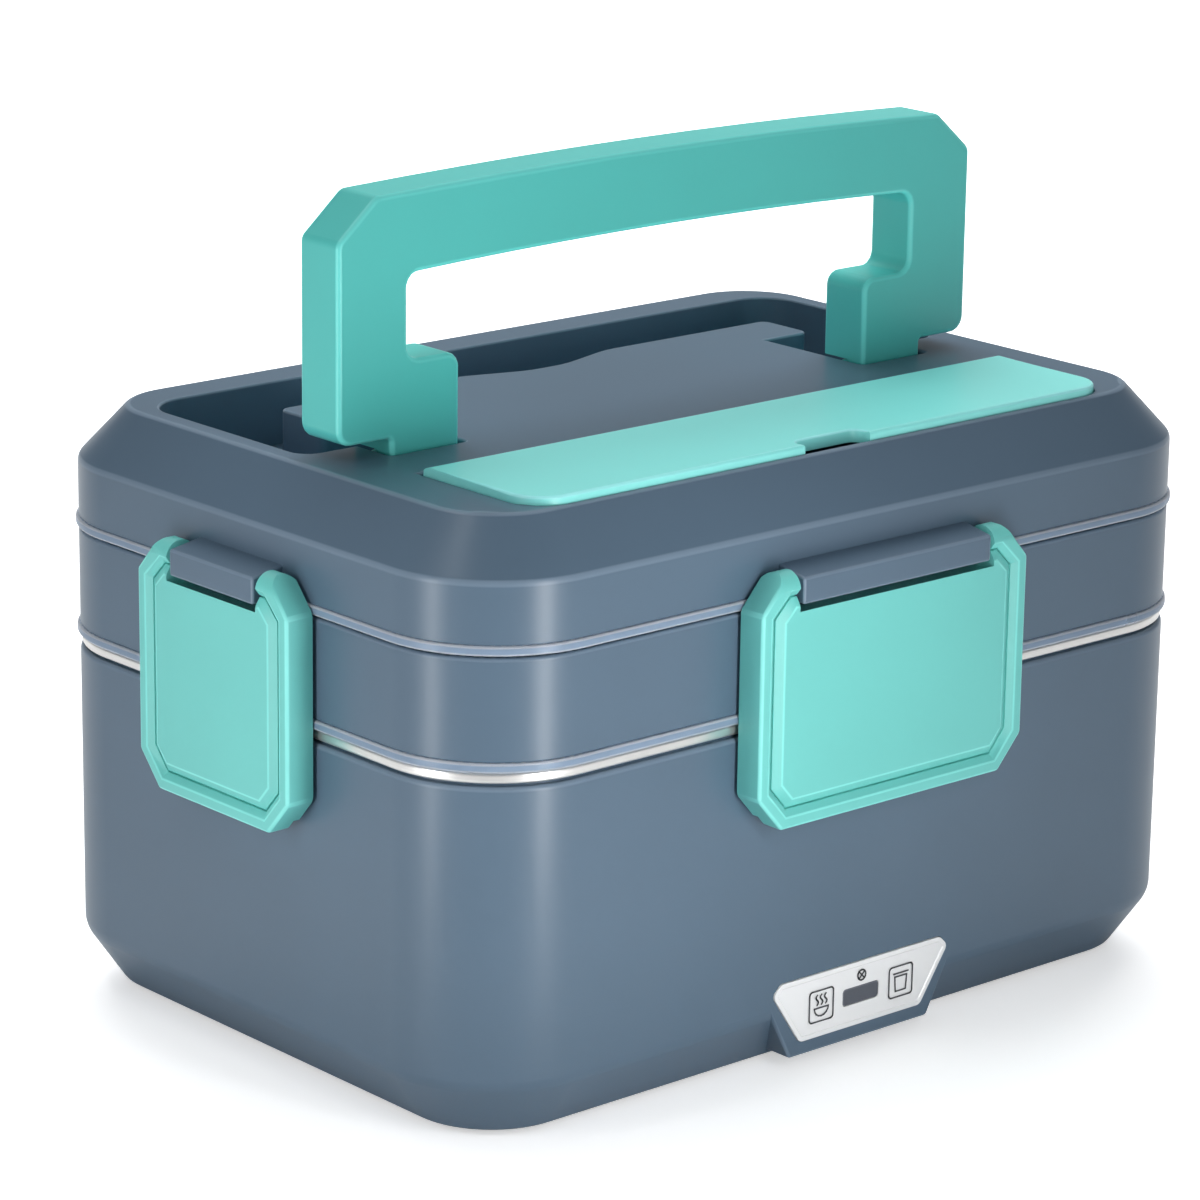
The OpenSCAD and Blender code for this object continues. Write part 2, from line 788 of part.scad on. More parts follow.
module rubber_feet() {
    color(dark)
        four_corners()
            translate([foot_x, foot_y, 0]) rotate_extrude() polygon(soft([
                [0, 0, 0],
                [foot_d / 2 - foot_taper, 0, foot_edge_r],
                [foot_d / 2, foot_h + foot_sink, 0],
                [0, foot_h + foot_sink, 0]]));
}

// ---- container and tray ----

module steel_container() {
    rim_x = corner_r - rim_in - rim_d / 2;
    out_x = corner_r - container_in;
    in_x = out_x - steel_t;
    floor_x = out_x - container_floor_r;
    color(steel) {
        around() {
            translate([rim_x, rim_z + rim_d / 2]) circle(d = rim_d);
            polygon(soft([
                [rim_x, rim_top_z - steel_t, 0],
                [rim_x, rim_top_z, 0],
                [in_x, rim_top_z, rim_bend_r],
                [in_x, container_z + steel_t, container_floor_r - steel_t],
                [floor_x, container_z + steel_t, 0],
                [floor_x, container_z, 0],
                [out_x, container_z, container_floor_r - eps],
                [out_x, rim_top_z - steel_t, rim_bend_r / 2]]));
        }
        slab(container_in + container_floor_r, container_z, steel_t);
    }
}

// Seal section: a flat band with a rounded outer lip
module seal_section(z) {
    lip = (seal_h - seal_flat) / 2;
    polygon(soft([
        [corner_r - seal_w, z, 0],
        [corner_r + seal_proud, z, lip],
        [corner_r + seal_proud, z + seal_h, lip],
        [corner_r - seal_w, z + seal_h, 0]]));
}

module tray_seal() {
    color(clear_silicone) around() seal_section(tray_seal_z);
}

module upper_tray() {
    color(body_colour) {
        around() polygon(soft([
            [corner_r - tray_floor_in, tray_z, 0],
            [corner_r, tray_z, low_edge_r],
            [corner_r, tray_top_z, edge_r],
            [corner_r - wall, tray_top_z, inner_edge_r],
            [corner_r - wall, tray_z + tray_floor_t, tray_floor_r],
            [corner_r - tray_floor_in, tray_z + tray_floor_t, 0]]));
        slab(tray_floor_in, tray_z, tray_floor_t);
    }
}

// ---- lid ----

module lid_seal() {
    color(clear_silicone) around() seal_section(lid_seal_z);
}

module lid_inner_cover() {
    color("#d9dde1") {
        slab(wall + side_gap, lid_z, inner_cover_t);
        for (sx = [-1, 1]) {
            translate([sx * (trough_half - weld_post_trough_in), platform_back_y, lid_z])
                cylinder(d = weld_post_d, h = trough_z - tub_t - lid_z);
            translate([sx * (bay_half - weld_post_bay_in), (bay_front_y + bay_back_y) / 2, lid_z])
                cylinder(d = weld_post_d, h = bay_z - tub_t - lid_z);
        }
    }
}

module lid_section() {
    slant = lid_slope_in / lid_slope_h;
    in_z = lid_slope_z - lid_inner_drop;
    top_in_z = lid_top_z - lid_top_t;
    polygon(soft([
        [corner_r - wall, lid_z, 0],
        [corner_r, lid_z, low_edge_r],
        [corner_r, lid_slope_z, lid_bend_r],
        [corner_r - lid_slope_in, lid_top_z, 0],
        [corner_r - lid_slope_in - wall, lid_top_z, 0],
        [corner_r - lid_slope_in - wall, top_in_z, 0],
        [corner_r - wall - slant * (top_in_z - in_z), top_in_z, 0],
        [corner_r - wall, in_z, 0]]));
}

// Plan of the U-shaped handle trough with its two foot slots, grown by its wall
module trough_plan(grow) {
    polygon(soft(both_sides([
        [trough_half + grow, trough_back_y + grow, trough_r],
        [trough_half + grow, trough_front_y - grow, trough_end_r]])));
    for (sx = [-1, 1])
        translate([sx * (slot_in + slot_out) / 2 - (slot_out - slot_in) / 2 - grow, slot_front_y - grow])
            square([slot_out - slot_in + 2 * grow, trough_front_y - slot_front_y + slot_lap]);
}

// Plan of the raised platform inside the trough, with the finger scoop in its back edge
module platform_plan(shrink) {
    scoop_inner = scoop_w - scoop_flare;
    front_y = slot_front_y - 2 * tub_t;
    polygon(soft(both_sides([
        [scoop_inner, platform_back_y - scoop_d - shrink, scoop_r],
        [scoop_w, platform_back_y - shrink, scoop_r],
        [platform_half - shrink, platform_back_y - shrink, platform_r],
        [platform_half - shrink, platform_step_y + shrink, platform_step_r],
        [slot_in - shrink, platform_step_y + shrink, platform_step_r],
        [slot_in - shrink, front_y, 0]])));
}

module hinge_bar(turn) {
    half = latch_width(turn) / 2 - ear_w - bar_ear_gap;
    on_wall(turn)
        side_slice(soft([
            [root, lid_z, 0],
            [-latch_wall_gap + eps, lid_z, 0],
            [-latch_wall_gap, bar_low_z, 0],
            [-latch_out, bar_low_z, bar_edge_r],
            [-latch_out, bar_front_top_z, bar_edge_r],
            [0, bar_back_top_z, 0],
            [root, bar_back_top_z, 0]]), -half, half);
}

// Cutlery cover's plan, grown by a margin
module cover_plan(grow, back_grow) {
    half = cover_l / 2 + grow;
    polygon(soft(both_sides([
        [half, cover_back_y + back_grow, cover_back_r],
        [half, cover_front_y - grow, cover_r]])));
}

module lid_shell() {
    color(body_colour) difference() {
        union() {
            around() lid_section();
            slab(lid_slope_in + wall - eps, lid_top_z - lid_top_t, lid_top_t);
            translate([0, 0, trough_z - tub_t]) linear_extrude(lid_top_z - trough_z + tub_t - root)
                trough_plan(tub_t);
            translate([-bay_half - tub_t, bay_front_y - tub_t, bay_z - tub_t])
                cube([2 * (bay_half + tub_t), bay_back_y - bay_front_y + 2 * tub_t,
                    bay_depth + tub_t - root]);
            for (sx = [-1, 1])
                translate([sx * (cover_pin_x + pin_block_w / 2) - pin_block_w / 2,
                    cover_hinge_y - pin_block_front, bay_z + pin_block_up])
                    cube([pin_block_w, bay_back_y - cover_hinge_y + pin_block_front + tub_t,
                        bay_depth - pin_block_up - root]);
            for (turn = [0:3]) hinge_bar(turn);
        }
        difference() {
            translate([0, 0, trough_z]) linear_extrude(lid_top_z - trough_z + past) trough_plan(0);
            translate([0, 0, trough_z - past])
                linear_extrude(lid_top_z - trough_z + 3 * past) platform_plan(0);
        }
        translate([0, 0, trough_z - tub_t - past])
            linear_extrude(lid_top_z - lid_top_t - trough_z + tub_t + past) intersection() {
                platform_plan(tub_t);
                translate([-body_l / 2, slot_front_y]) square([body_l, body_w]);
            }
        translate([-bay_half, bay_front_y, bay_z])
            cube([2 * bay_half, bay_back_y - bay_front_y, bay_depth + past]);
        translate([0, 0, cover_z - side_gap]) linear_extrude(cover_t + past) cover_plan(side_gap, side_gap);
        x_rod(2 * (cover_hinge_r + side_gap), -cover_l / 2 - side_gap, cover_l / 2 + side_gap,
            cover_hinge_y, cover_hinge_z);
        translate([-cover_l / 2 - side_gap, cover_hinge_y, cover_hinge_z])
            cube([cover_l + 2 * side_gap, cover_hinge_r + side_gap, cover_t]);
        for (sx = [-1, 1])
            translate([sx * (cover_pin_x + cover_pin_len / 2), 0, 0])
                x_rod(cover_pin_d + 2 * pin_gap, -cover_pin_len / 2 - side_gap, cover_pin_len / 2 + side_gap,
                    cover_hinge_y, cover_hinge_z);
        for (sx = [-1, 1])
            mirror([sx < 0 ? 1 : 0, 0, 0])
                x_rod(handle_pin_d + 2 * pin_gap, handle_pin_x - side_gap,
                    handle_pin_x + handle_pin_len + side_gap, handle_hinge_y, handle_hinge_z);
        for (turn = [0:3])
            on_wall(turn)
                x_rod(latch_pin_d + 2 * pin_gap, -latch_width(turn) / 2, latch_width(turn) / 2,
                    -hinge_out, hinge_z);
    }
}

module handle_pins() {
    color(steel)
        for (sx = [0, 1])
            mirror([sx, 0, 0])
                x_rod(handle_pin_d, handle_pin_x, handle_pin_x + handle_pin_len,
                    handle_hinge_y, handle_hinge_z);
}

module cover_pins() {
    color(steel)
        for (sx = [0, 1])
            mirror([sx, 0, 0])
                x_rod(cover_pin_d, cover_pin_x, cover_pin_x + cover_pin_len, cover_hinge_y, cover_hinge_z);
}

module latch_pins() {
    color(steel)
        for (turn = [0:3]) {
            half = latch_width(turn) / 2 - pin_edge - pin_end_gap;
            on_wall(turn) x_rod(latch_pin_d, -half, half, -hinge_out, hinge_z);
        }
}

// ---- moving pieces of the lid ----

// Height of an arched edge at x, from its height at the ends
function arch(x, half, z) = z + grip_rise * (1 - x * x / (half * half));

module handle() {
    top_half = handle_half - handle_cut_w;
    z0 = handle_hinge_z;
    grip_z = z0 + handle_h - grip_h;
    span = 4;
    outer = [for (i = [0:span]) let (x = top_half * i / span)
        [x, arch(x, top_half, z0 + handle_h), i == span ? corner_round : 0]];
    inner = [for (i = [span:-1:0]) let (x = leg_half * i / span)
        [x, arch(x, leg_half, grip_z), i == span ? step_round : 0]];
    rest = [
        [handle_half, z0 + handle_h - handle_cut_h, corner_round],
        [handle_half, z0 + leg_end_h, leg_round],
        [handle_foot_half, z0 + leg_end_h, 0],
        [handle_foot_half, z0 + leg_end_h - foot_lap, 0],
        [step_half, z0 + leg_end_h - foot_lap, 0],
        [step_half, z0 + step_h, step_round],
        [leg_half, z0 + step_h, step_round]];
    color(teal) difference() {
        for (side = [0, 1])
            mirror([side, 0, 0]) {
                front_slice(soft(concat(outer, rest, inner)), handle_front_y, handle_back_y);
                translate([0, handle_hinge_y, handle_hinge_z]) {
                    x_rod(2 * handle_foot_r, step_half, handle_foot_half, 0, 0);
                    side_slice([
                        [-handle_foot_r, 0],
                        [handle_foot_r * cos(foot_back_angle), -handle_foot_r * sin(foot_back_angle)],
                        [handle_t - handle_foot_r, handle_foot_r],
                        [handle_t - handle_foot_r, leg_end_h],
                        [-handle_foot_r, leg_end_h]], step_half, handle_foot_half);
                }
            }
        for (side = [0, 1])
            mirror([side, 0, 0])
                x_rod(handle_pin_d + 2 * pin_gap, step_half - past, handle_foot_half + past,
                    handle_hinge_y, handle_hinge_z);
    }
}

module cutlery_cover() {
    color("#8ae0d8") difference() {
        union() {
            intersection() {
                translate([0, 0, cover_z]) linear_extrude(cover_t) cover_plan(0, 0);
                union() {
                    x_rod(2 * cover_hinge_r, -cover_l / 2, cover_l / 2, cover_hinge_y, cover_hinge_z);
                    translate([-cover_l / 2, cover_front_y, cover_z])
                        cube([cover_l, cover_hinge_y - cover_front_y, cover_t]);
                }
            }
            x_rod(2 * cover_barrel_r, -bay_half + side_gap, bay_half - side_gap,
                cover_hinge_y, cover_hinge_z);
        }
        translate([-notch_w / 2, cover_front_y - past, cover_z - past])
            cube([notch_w, notch_d + past, cover_t + 2 * past]);
        for (sx = [0, 1])
            mirror([sx, 0, 0])
                x_rod(cover_pin_d + 2 * pin_gap, cover_pin_x - side_gap, cover_pin_x + cover_pin_len,
                    cover_hinge_y, cover_hinge_z);
    }
}

// Outline of a latch, shrunk by an inset
function latch_outline(turn, inset) =
    let (half = latch_width(turn) / 2 - inset, slope = inset * latch_cut_shrink)
    soft(both_sides([
        [half - latch_cut_w + slope, latch_top_z - inset, latch_corner_r],
        [half, latch_top_z - latch_cut_h - slope, latch_corner_r],
        [half, latch_low_z + latch_cut_h + slope, latch_corner_r],
        [half - latch_cut_w + slope, latch_low_z + inset, latch_corner_r]]), 2);

module latch(turn) {
    half = latch_width(turn) / 2;
    bar_half = half - ear_w;
    window_z0 = bar_low_z - bar_panel_gap;
    rib_half = half - latch_rim_t - catch_side;
    front_y = -latch_out;
    inner_y = front_y + latch_t;
    back_y = -latch_wall_gap;
    color(teal) on_wall(turn) {
        difference() {
            intersection() {
                front_slice(latch_outline(turn, 0), front_y, back_y);
                union() {
                    translate([-half, front_y, latch_low_z])
                        cube([2 * half, latch_out, hinge_z - latch_low_z]);
                    x_rod(2 * ear_r, -half, half, -hinge_out, hinge_z);
                }
            }
            difference() {
                front_slice(latch_outline(turn, latch_rim_t), inner_y, back_y + past);
                translate([-half, front_y - past, window_z0 - latch_rim_t])
                    cube([2 * half, latch_out + past, latch_h]);
            }
            translate([-bar_half, front_y - past, window_z0])
                cube([2 * bar_half, latch_out + past, latch_h]);
            translate([-rib_half - past, -catch_out - side_gap, latch_low_z - past])
                cube([2 * (rib_half + past), catch_out + past, latch_rim_t + 2 * past]);
            difference() {
                front_slice(latch_outline(turn, groove_in), front_y - past, front_y + groove_depth);
                front_slice(latch_outline(turn, groove_in + groove_w),
                    front_y - 2 * past, front_y + groove_depth + past);
                translate([-half, front_y - 2 * past, window_z0 + groove_top_gap])
                    cube([2 * half, latch_out, latch_h]);
            }
            x_rod(latch_pin_d + 2 * pin_gap, -half + pin_edge, half - pin_edge, -hinge_out, hinge_z);
        }
        translate([-rib_half, inner_y - eps, rib_z])
            cube([2 * rib_half, -catch_out - side_gap - inner_y + eps, catch_h]);
    }
}

module front_latch() { latch(0); }

module right_latch() { latch(1); }

module back_latch() { latch(2); }

module left_latch() { latch(3); }

base_housing();
inner_liner();
heating_plate();
ptc_heaters();
thermal_fuse();
plate_screws();
control_board();
indicator_led();
control_panel();
indicator_window();
power_inlet();
inlet_pins();
internal_leads();
bottom_cover();
bottom_screws();
rubber_feet();
steel_container();
upper_tray();
tray_seal();
lid_shell();
lid_inner_cover();
lid_seal();
handle_pins();
cover_pins();
latch_pins();
handle();
cutlery_cover();
front_latch();
back_latch();
left_latch();
right_latch();
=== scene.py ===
import json
import math

import bpy
from mathutils import Matrix, Vector


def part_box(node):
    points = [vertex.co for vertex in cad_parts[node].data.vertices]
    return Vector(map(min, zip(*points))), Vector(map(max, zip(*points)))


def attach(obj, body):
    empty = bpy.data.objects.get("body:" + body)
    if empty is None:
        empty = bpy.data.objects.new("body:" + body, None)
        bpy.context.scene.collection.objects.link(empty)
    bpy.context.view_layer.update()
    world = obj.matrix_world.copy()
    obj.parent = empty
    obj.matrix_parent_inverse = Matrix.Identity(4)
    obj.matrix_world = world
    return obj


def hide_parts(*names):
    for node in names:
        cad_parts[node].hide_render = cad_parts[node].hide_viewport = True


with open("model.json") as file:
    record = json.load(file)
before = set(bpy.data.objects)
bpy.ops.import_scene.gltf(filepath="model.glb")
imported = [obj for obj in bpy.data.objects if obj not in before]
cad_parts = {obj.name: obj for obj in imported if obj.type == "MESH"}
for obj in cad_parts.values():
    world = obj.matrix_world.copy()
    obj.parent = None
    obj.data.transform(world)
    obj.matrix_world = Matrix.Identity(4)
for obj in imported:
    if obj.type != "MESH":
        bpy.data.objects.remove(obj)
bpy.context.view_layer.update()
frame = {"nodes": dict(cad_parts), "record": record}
mm = 0.001


# ---- Studio ----
# A long lens looks down on the box's near left corner. Two tall softboxes stand to the left and in
# front, one for each bright stripe on the near corner. A wide panel and a narrow strip hang above.

camera_azimuth = math.radians(-41.39)
camera_height = math.radians(15.91)
camera_roll = math.radians(0.81)
camera_distance = 1019.25 * mm
camera_aim = Vector((-94.22, -95.80, 131.63)) * mm
camera_lens = 140.33

camera_back = Vector((
    math.sin(camera_azimuth) * math.cos(camera_height),
    -math.cos(camera_azimuth) * math.cos(camera_height),
    math.sin(camera_height)))
camera_right = Vector((0, 0, 1)).cross(camera_back).normalized()
camera_up = camera_back.cross(camera_right)
rolled_right = camera_right * math.cos(camera_roll) + camera_up * math.sin(camera_roll)
rolled_up = camera_up * math.cos(camera_roll) - camera_right * math.sin(camera_roll)

bpy.ops.object.camera_add()
camera = bpy.context.object
camera.name = "camera"
camera.matrix_world = Matrix.Translation(camera_aim + camera_back * camera_distance) @ Matrix((
    rolled_right, rolled_up, camera_back)).transposed().to_4x4()
camera.data.lens = camera_lens
camera.data.sensor_width = 36
camera.data.clip_start = 10 * mm
camera.data.clip_end = 20
bpy.context.scene.camera = camera
bpy.context.scene.view_settings.view_transform = "Standard"

# name: place and aim in metres, width and height in metres, power in watts, seen in gloss or not
softboxes = {
    "left_softbox": ((-0.31, -0.051, 0.115), (-0.11, -0.056, 0.115), 0.034, 0.22, 0.21, True),
    "front_softbox": ((-0.084, -0.275, 0.115), (-0.093, -0.08, 0.115), 0.034, 0.22, 0.33, True),
    "sky_panel": ((0.73, 0.84, 1.09), (0, 0, 0.1), 1.6, 1.4, 31.0, False),
    "sparkle_strip": ((-0.35, 0.2, 0.9), (0, 0, 0.15), 0.6, 0.1, 0.9, True),
}
for lamp_name, (place, aim, lamp_w, lamp_h, watts, shines_back) in softboxes.items():
    place, aim = Vector(place), Vector(aim)
    bpy.ops.object.light_add(type="AREA", location=place)
    lamp = bpy.context.object
    lamp.name = lamp_name
    lamp.rotation_euler = (place - aim).to_track_quat("Z", "Y").to_euler()
    lamp.data.shape = "RECTANGLE"
    lamp.data.size = lamp_w
    lamp.data.size_y = lamp_h
    lamp.data.energy = watts
    lamp.visible_glossy = shines_back
    lamp.visible_camera = False

studio = bpy.data.worlds.new("studio")
bpy.context.scene.world = studio
studio.use_nodes = True
nodes, links = studio.node_tree.nodes, studio.node_tree.links
nodes.clear()
room_light = nodes.new("ShaderNodeBackground")
room_light.inputs["Color"].default_value = (0.93, 0.96, 1, 1)
room_light.inputs["Strength"].default_value = 0.23
white_wall = nodes.new("ShaderNodeBackground")
white_wall.inputs["Strength"].default_value = 1
ceiling = nodes.new("ShaderNodeBackground")
looking = nodes.new("ShaderNodeTexCoord")
height = nodes.new("ShaderNodeSeparateXYZ")
ceiling_fade = nodes.new("ShaderNodeMapRange")
ceiling_fade.inputs["From Min"].default_value = 0.02
ceiling_fade.inputs["From Max"].default_value = 0.22
ceiling_fade.inputs["To Min"].default_value = 1
ceiling_fade.inputs["To Max"].default_value = 0.2
seen = nodes.new("ShaderNodeLightPath")
in_gloss = nodes.new("ShaderNodeMixShader")
unbent = nodes.new("ShaderNodeMath")
unbent.operation = "MAXIMUM"
pick = nodes.new("ShaderNodeMixShader")
world_out = nodes.new("ShaderNodeOutputWorld")
links.new(looking.outputs["Generated"], height.inputs["Vector"])
links.new(height.outputs["Z"], ceiling_fade.inputs["Value"])
links.new(ceiling_fade.outputs["Result"], ceiling.inputs["Strength"])
links.new(seen.outputs["Is Glossy Ray"], in_gloss.inputs["Fac"])
links.new(room_light.outputs[0], in_gloss.inputs[1])
links.new(ceiling.outputs[0], in_gloss.inputs[2])
links.new(seen.outputs["Is Camera Ray"], unbent.inputs[0])
links.new(seen.outputs["Is Transmission Ray"], unbent.inputs[1])
links.new(unbent.outputs[0], pick.inputs["Fac"])
links.new(in_gloss.outputs[0], pick.inputs[1])
links.new(white_wall.outputs[0], pick.inputs[2])
links.new(pick.outputs[0], world_out.inputs["Surface"])

table_size = 8
bpy.ops.mesh.primitive_plane_add(size=table_size)
table_top = bpy.context.object
table_top.name = "table_top"
white_sheet = bpy.data.materials.new("white_sheet")
white_sheet.use_nodes = True
nodes, links = white_sheet.node_tree.nodes, white_sheet.node_tree.links
nodes.clear()
paper = nodes.new("ShaderNodeBsdfDiffuse")
paper.inputs["Color"].default_value = (0.88, 0.88, 0.88, 1)
paper_lift = nodes.new("ShaderNodeEmission")
on_table = nodes.new("ShaderNodeTexCoord")
from_middle = nodes.new("ShaderNodeVectorMath")
from_middle.operation = "LENGTH"
far_lift = nodes.new("ShaderNodeMapRange")
far_lift.inputs["From Min"].default_value = 0.5
far_lift.inputs["From Max"].default_value = 1.6
far_lift.inputs["To Min"].default_value = 0.5
far_lift.inputs["To Max"].default_value = 1
no_lift = nodes.new("ShaderNodeEmission")
no_lift.inputs["Strength"].default_value = 0
seen = nodes.new("ShaderNodeLightPath")
lift = nodes.new("ShaderNodeMixShader")
both = nodes.new("ShaderNodeAddShader")
sheet_out = nodes.new("ShaderNodeOutputMaterial")
links.new(on_table.outputs["Object"], from_middle.inputs[0])
links.new(from_middle.outputs["Value"], far_lift.inputs["Value"])
links.new(far_lift.outputs["Result"], paper_lift.inputs["Strength"])
links.new(seen.outputs["Is Camera Ray"], lift.inputs["Fac"])
links.new(no_lift.outputs[0], lift.inputs[1])
links.new(paper_lift.outputs[0], lift.inputs[2])
links.new(paper.outputs[0], both.inputs[0])
links.new(lift.outputs[0], both.inputs[1])
links.new(both.outputs[0], sheet_out.inputs["Surface"])
table_top.data.materials.append(white_sheet)


# ---- Base housing ----
# The lower half is one deep polypropylene moulding with a fine satin grain. Its foot slopes in, and a
# boss on the front and one on the back carry the wall's plane down for the panel and the inlet.

body_lo, body_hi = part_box("upper_tray")
body_l = body_hi.x - body_lo.x
body_w = body_hi.y - body_lo.y
base_lo, base_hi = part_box("base_housing")
corner_r = 30 * mm
wall = 2.6 * mm
hair = 0.001 * mm
base_edge_r = 1.2 * mm
slope_edge_r = 1.8 * mm
boss_edge_r = 0.8 * mm
shadow_gap = 0.5 * mm
land_in = 1.9 * mm
foot_slope_h = 14 * mm
foot_slope_in = 9.5 * mm
bottom_land = 1.4 * mm
bottom_recess = 2.7 * mm
boss_rise = 8 * mm
boss_lift = 2 * mm
base_floor_t = 2 * mm
inner_slope_rise = 0.8 * mm
straight = 0.999
past = 1 * mm
slate_blue = (0.099, 0.157, 0.222)


def nothing_selected():
    if bpy.context.object and bpy.context.object.mode != "OBJECT":
        bpy.ops.object.mode_set(mode="OBJECT")
    bpy.ops.object.select_all(action="DESELECT")


def work_on(piece):
    nothing_selected()
    bpy.context.view_layer.objects.active = piece
    piece.select_set(True)


def pick_faces(piece, wanted):
    """Selects the faces for which wanted(middle, direction) holds, and goes into edit mode."""
    work_on(piece)
    bpy.ops.object.mode_set(mode="EDIT")
    bpy.ops.mesh.select_mode(type="FACE")
    bpy.ops.mesh.select_all(action="DESELECT")
    bpy.ops.object.mode_set(mode="OBJECT")
    for face in piece.data.polygons:
        face.select = wanted(face.center, face.normal)
    bpy.ops.object.mode_set(mode="EDIT")


def pick_edges(piece, wanted):
    """Selects the edges for which wanted(one end, other end) holds, and goes into edit mode."""
    work_on(piece)
    bpy.ops.object.mode_set(mode="EDIT")
    bpy.ops.mesh.select_mode(type="EDGE")
    bpy.ops.mesh.select_all(action="DESELECT")
    bpy.ops.object.mode_set(mode="OBJECT")
    points = piece.data.vertices
    for edge in piece.data.edges:
        edge.select = wanted(points[edge.vertices[0]].co, points[edge.vertices[1]].co)
    bpy.ops.object.mode_set(mode="EDIT")


def upright(a, b):
    return abs(a.x - b.x) < hair and abs(a.y - b.y) < hair


def at_height(z):
    return lambda a, b: abs(a.z - z) < hair and abs(b.z - z) < hair


def level(a, b):
    return abs(a.z - b.z) < hair


def facing_up(middle, direction):
    return direction.z > straight


def facing_down(middle, direction):
    return direction.z < -straight


def facing_front(middle, direction):
    return direction.y < -straight


def in_the_middle(middle):
    return abs(middle.x) < 1 * mm and abs(middle.y) < 1 * mm


def inner_floor(middle, direction):
    return facing_up(middle, direction) and in_the_middle(middle)


def inner_roof(middle, direction):
    return facing_down(middle, direction) and in_the_middle(middle)


def block(name, low, high):
    """A box between two corners, with its place in its mesh."""
    nothing_selected()
    low, high = Vector(low), Vector(high)
    bpy.ops.mesh.primitive_cube_add(size=1, location=(low + high) / 2)
    piece = bpy.context.object
    piece.name = name
    piece.scale = high - low
    bpy.ops.object.transform_apply(location=True, rotation=True, scale=True)
    return piece


def round_uprights(piece, radius, steps=20, where=lambda point: True):
    pick_edges(piece, lambda a, b: upright(a, b) and where(a))
    bpy.ops.mesh.bevel(offset=radius, segments=steps, affect="EDGES")
    bpy.ops.object.mode_set(mode="OBJECT")


def stacked(name, z0, z1, inset=0):
    """The plan of the box, set in or out, as a solid between two heights."""
    half_l, half_w = body_l / 2 - inset, body_w / 2 - inset
    piece = block(name, (-half_l, -half_w, z0), (half_l, half_w, z1))
    round_uprights(piece, corner_r - inset)
    return piece


def step_in(piece, which, inset, depth):
    """Sets the flat end faces in by one amount and moves them by another along their own direction."""
    pick_faces(piece, which)
    bpy.ops.mesh.inset(thickness=inset, depth=depth)
    bpy.ops.object.mode_set(mode="OBJECT")


def sink(piece, which, travel):
    """Pushes the faces straight along z, leaving walls behind them."""
    pick_faces(piece, which)
    bpy.ops.mesh.extrude_region_move(TRANSFORM_OT_translate={"value": (0, 0, travel)})
    bpy.ops.object.mode_set(mode="OBJECT")


def drawn(name, outline, y0, y1):
    """A flat shape drawn in x and z on the front, and pulled back from y0 to y1."""
    nothing_selected()
    bpy.ops.mesh.primitive_circle_add(vertices=len(outline), radius=1, fill_type="NGON")
    piece = bpy.context.object
    piece.name = name
    for point, (x, z) in zip(piece.data.vertices, outline):
        point.co = (x, y0, z)
    work_on(piece)
    bpy.ops.object.mode_set(mode="EDIT")
    bpy.ops.mesh.select_all(action="SELECT")
    bpy.ops.mesh.extrude_region_move(TRANSFORM_OT_translate={"value": (0, y1 - y0, 0)})
    bpy.ops.mesh.select_all(action="SELECT")
    bpy.ops.mesh.normals_make_consistent(inside=False)
    bpy.ops.object.mode_set(mode="OBJECT")
    return piece


def rounded(corners, steps=5):
    """Rounds the corners of an outline given as (x, z, radius)."""
    points = []
    for i, (x, z, radius) in enumerate(corners):
        here = Vector((x, z))
        before = (Vector(corners[i - 1][:2]) - here).normalized()
        after = (Vector(corners[(i + 1) % len(corners)][:2]) - here).normalized()
        if radius == 0:
            points.append((x, z))
            continue
        half_angle = before.angle(after) / 2
        middle = here + (before + after).normalized() * radius / math.sin(half_angle)
        a = here + before * radius / math.tan(half_angle) - middle
        b = here + after * radius / math.tan(half_angle) - middle
        for step in range(steps + 1):
            spoke = (a * (steps - step) + b * step).normalized()
            points.append(tuple(middle + spoke * radius))
    return points


def apply_all(piece):
    work_on(piece)
    for modifier in list(piece.modifiers):
        bpy.ops.object.modifier_apply(modifier=modifier.name)


def combine(piece, tool, how):
    """Joins a tool shape to a piece, or cuts it away, and removes the tool."""
    cut = piece.modifiers.new("cut", "BOOLEAN")
    cut.operation = how
    cut.solver = "EXACT"
    cut.object = tool
    apply_all(piece)
    bpy.data.objects.remove(tool, do_unlink=True)
    work_on(piece)
    bpy.ops.object.mode_set(mode="EDIT")
    bpy.ops.mesh.select_all(action="SELECT")
    bpy.ops.mesh.remove_doubles(threshold=0.002 * mm)
    bpy.ops.mesh.dissolve_limited(angle_limit=math.radians(0.2))
    bpy.ops.object.mode_set(mode="OBJECT")


def soften(piece, radius, wanted, steps=4, paints_highlight=True):
    """Rounds the chosen edges, and marks the new faces that get a painted highlight."""
    while len(piece.data.materials) < 2:
        piece.data.materials.append(None)
    pick_edges(piece, wanted)
    bpy.ops.mesh.bevel(offset=radius, segments=steps, affect="EDGES", clamp_overlap=False, material=int(paints_highlight))
    bpy.ops.object.mode_set(mode="OBJECT")


def smooth(piece):
    """Shades a finished moulding, and keeps the marks of its rounded edges as an attribute for a painted
    highlight.
    """
    # Painted highlight: this attribute marks the rounded edge faces that the materials paint paler.
    painted_edge_highlight = piece.data.attributes.new("painted_edge_highlight", "FLOAT", "POINT")
    highlight_marks = [1.0 if len(piece.data.materials) > 1 else 0.0] * len(piece.data.vertices)
    for face in piece.data.polygons:
        if face.material_index == 0:
            for number in face.vertices:
                highlight_marks[number] = 0.0
        face.material_index = 0
    painted_edge_highlight.data.foreach_set("value", highlight_marks)
    work_on(piece)
    bpy.ops.object.shade_smooth_by_angle(angle=math.radians(26))
    even = piece.modifiers.new("even_shading", "WEIGHTED_NORMAL")
    even.keep_sharp = True
    even.weight = 90
    apply_all(piece)


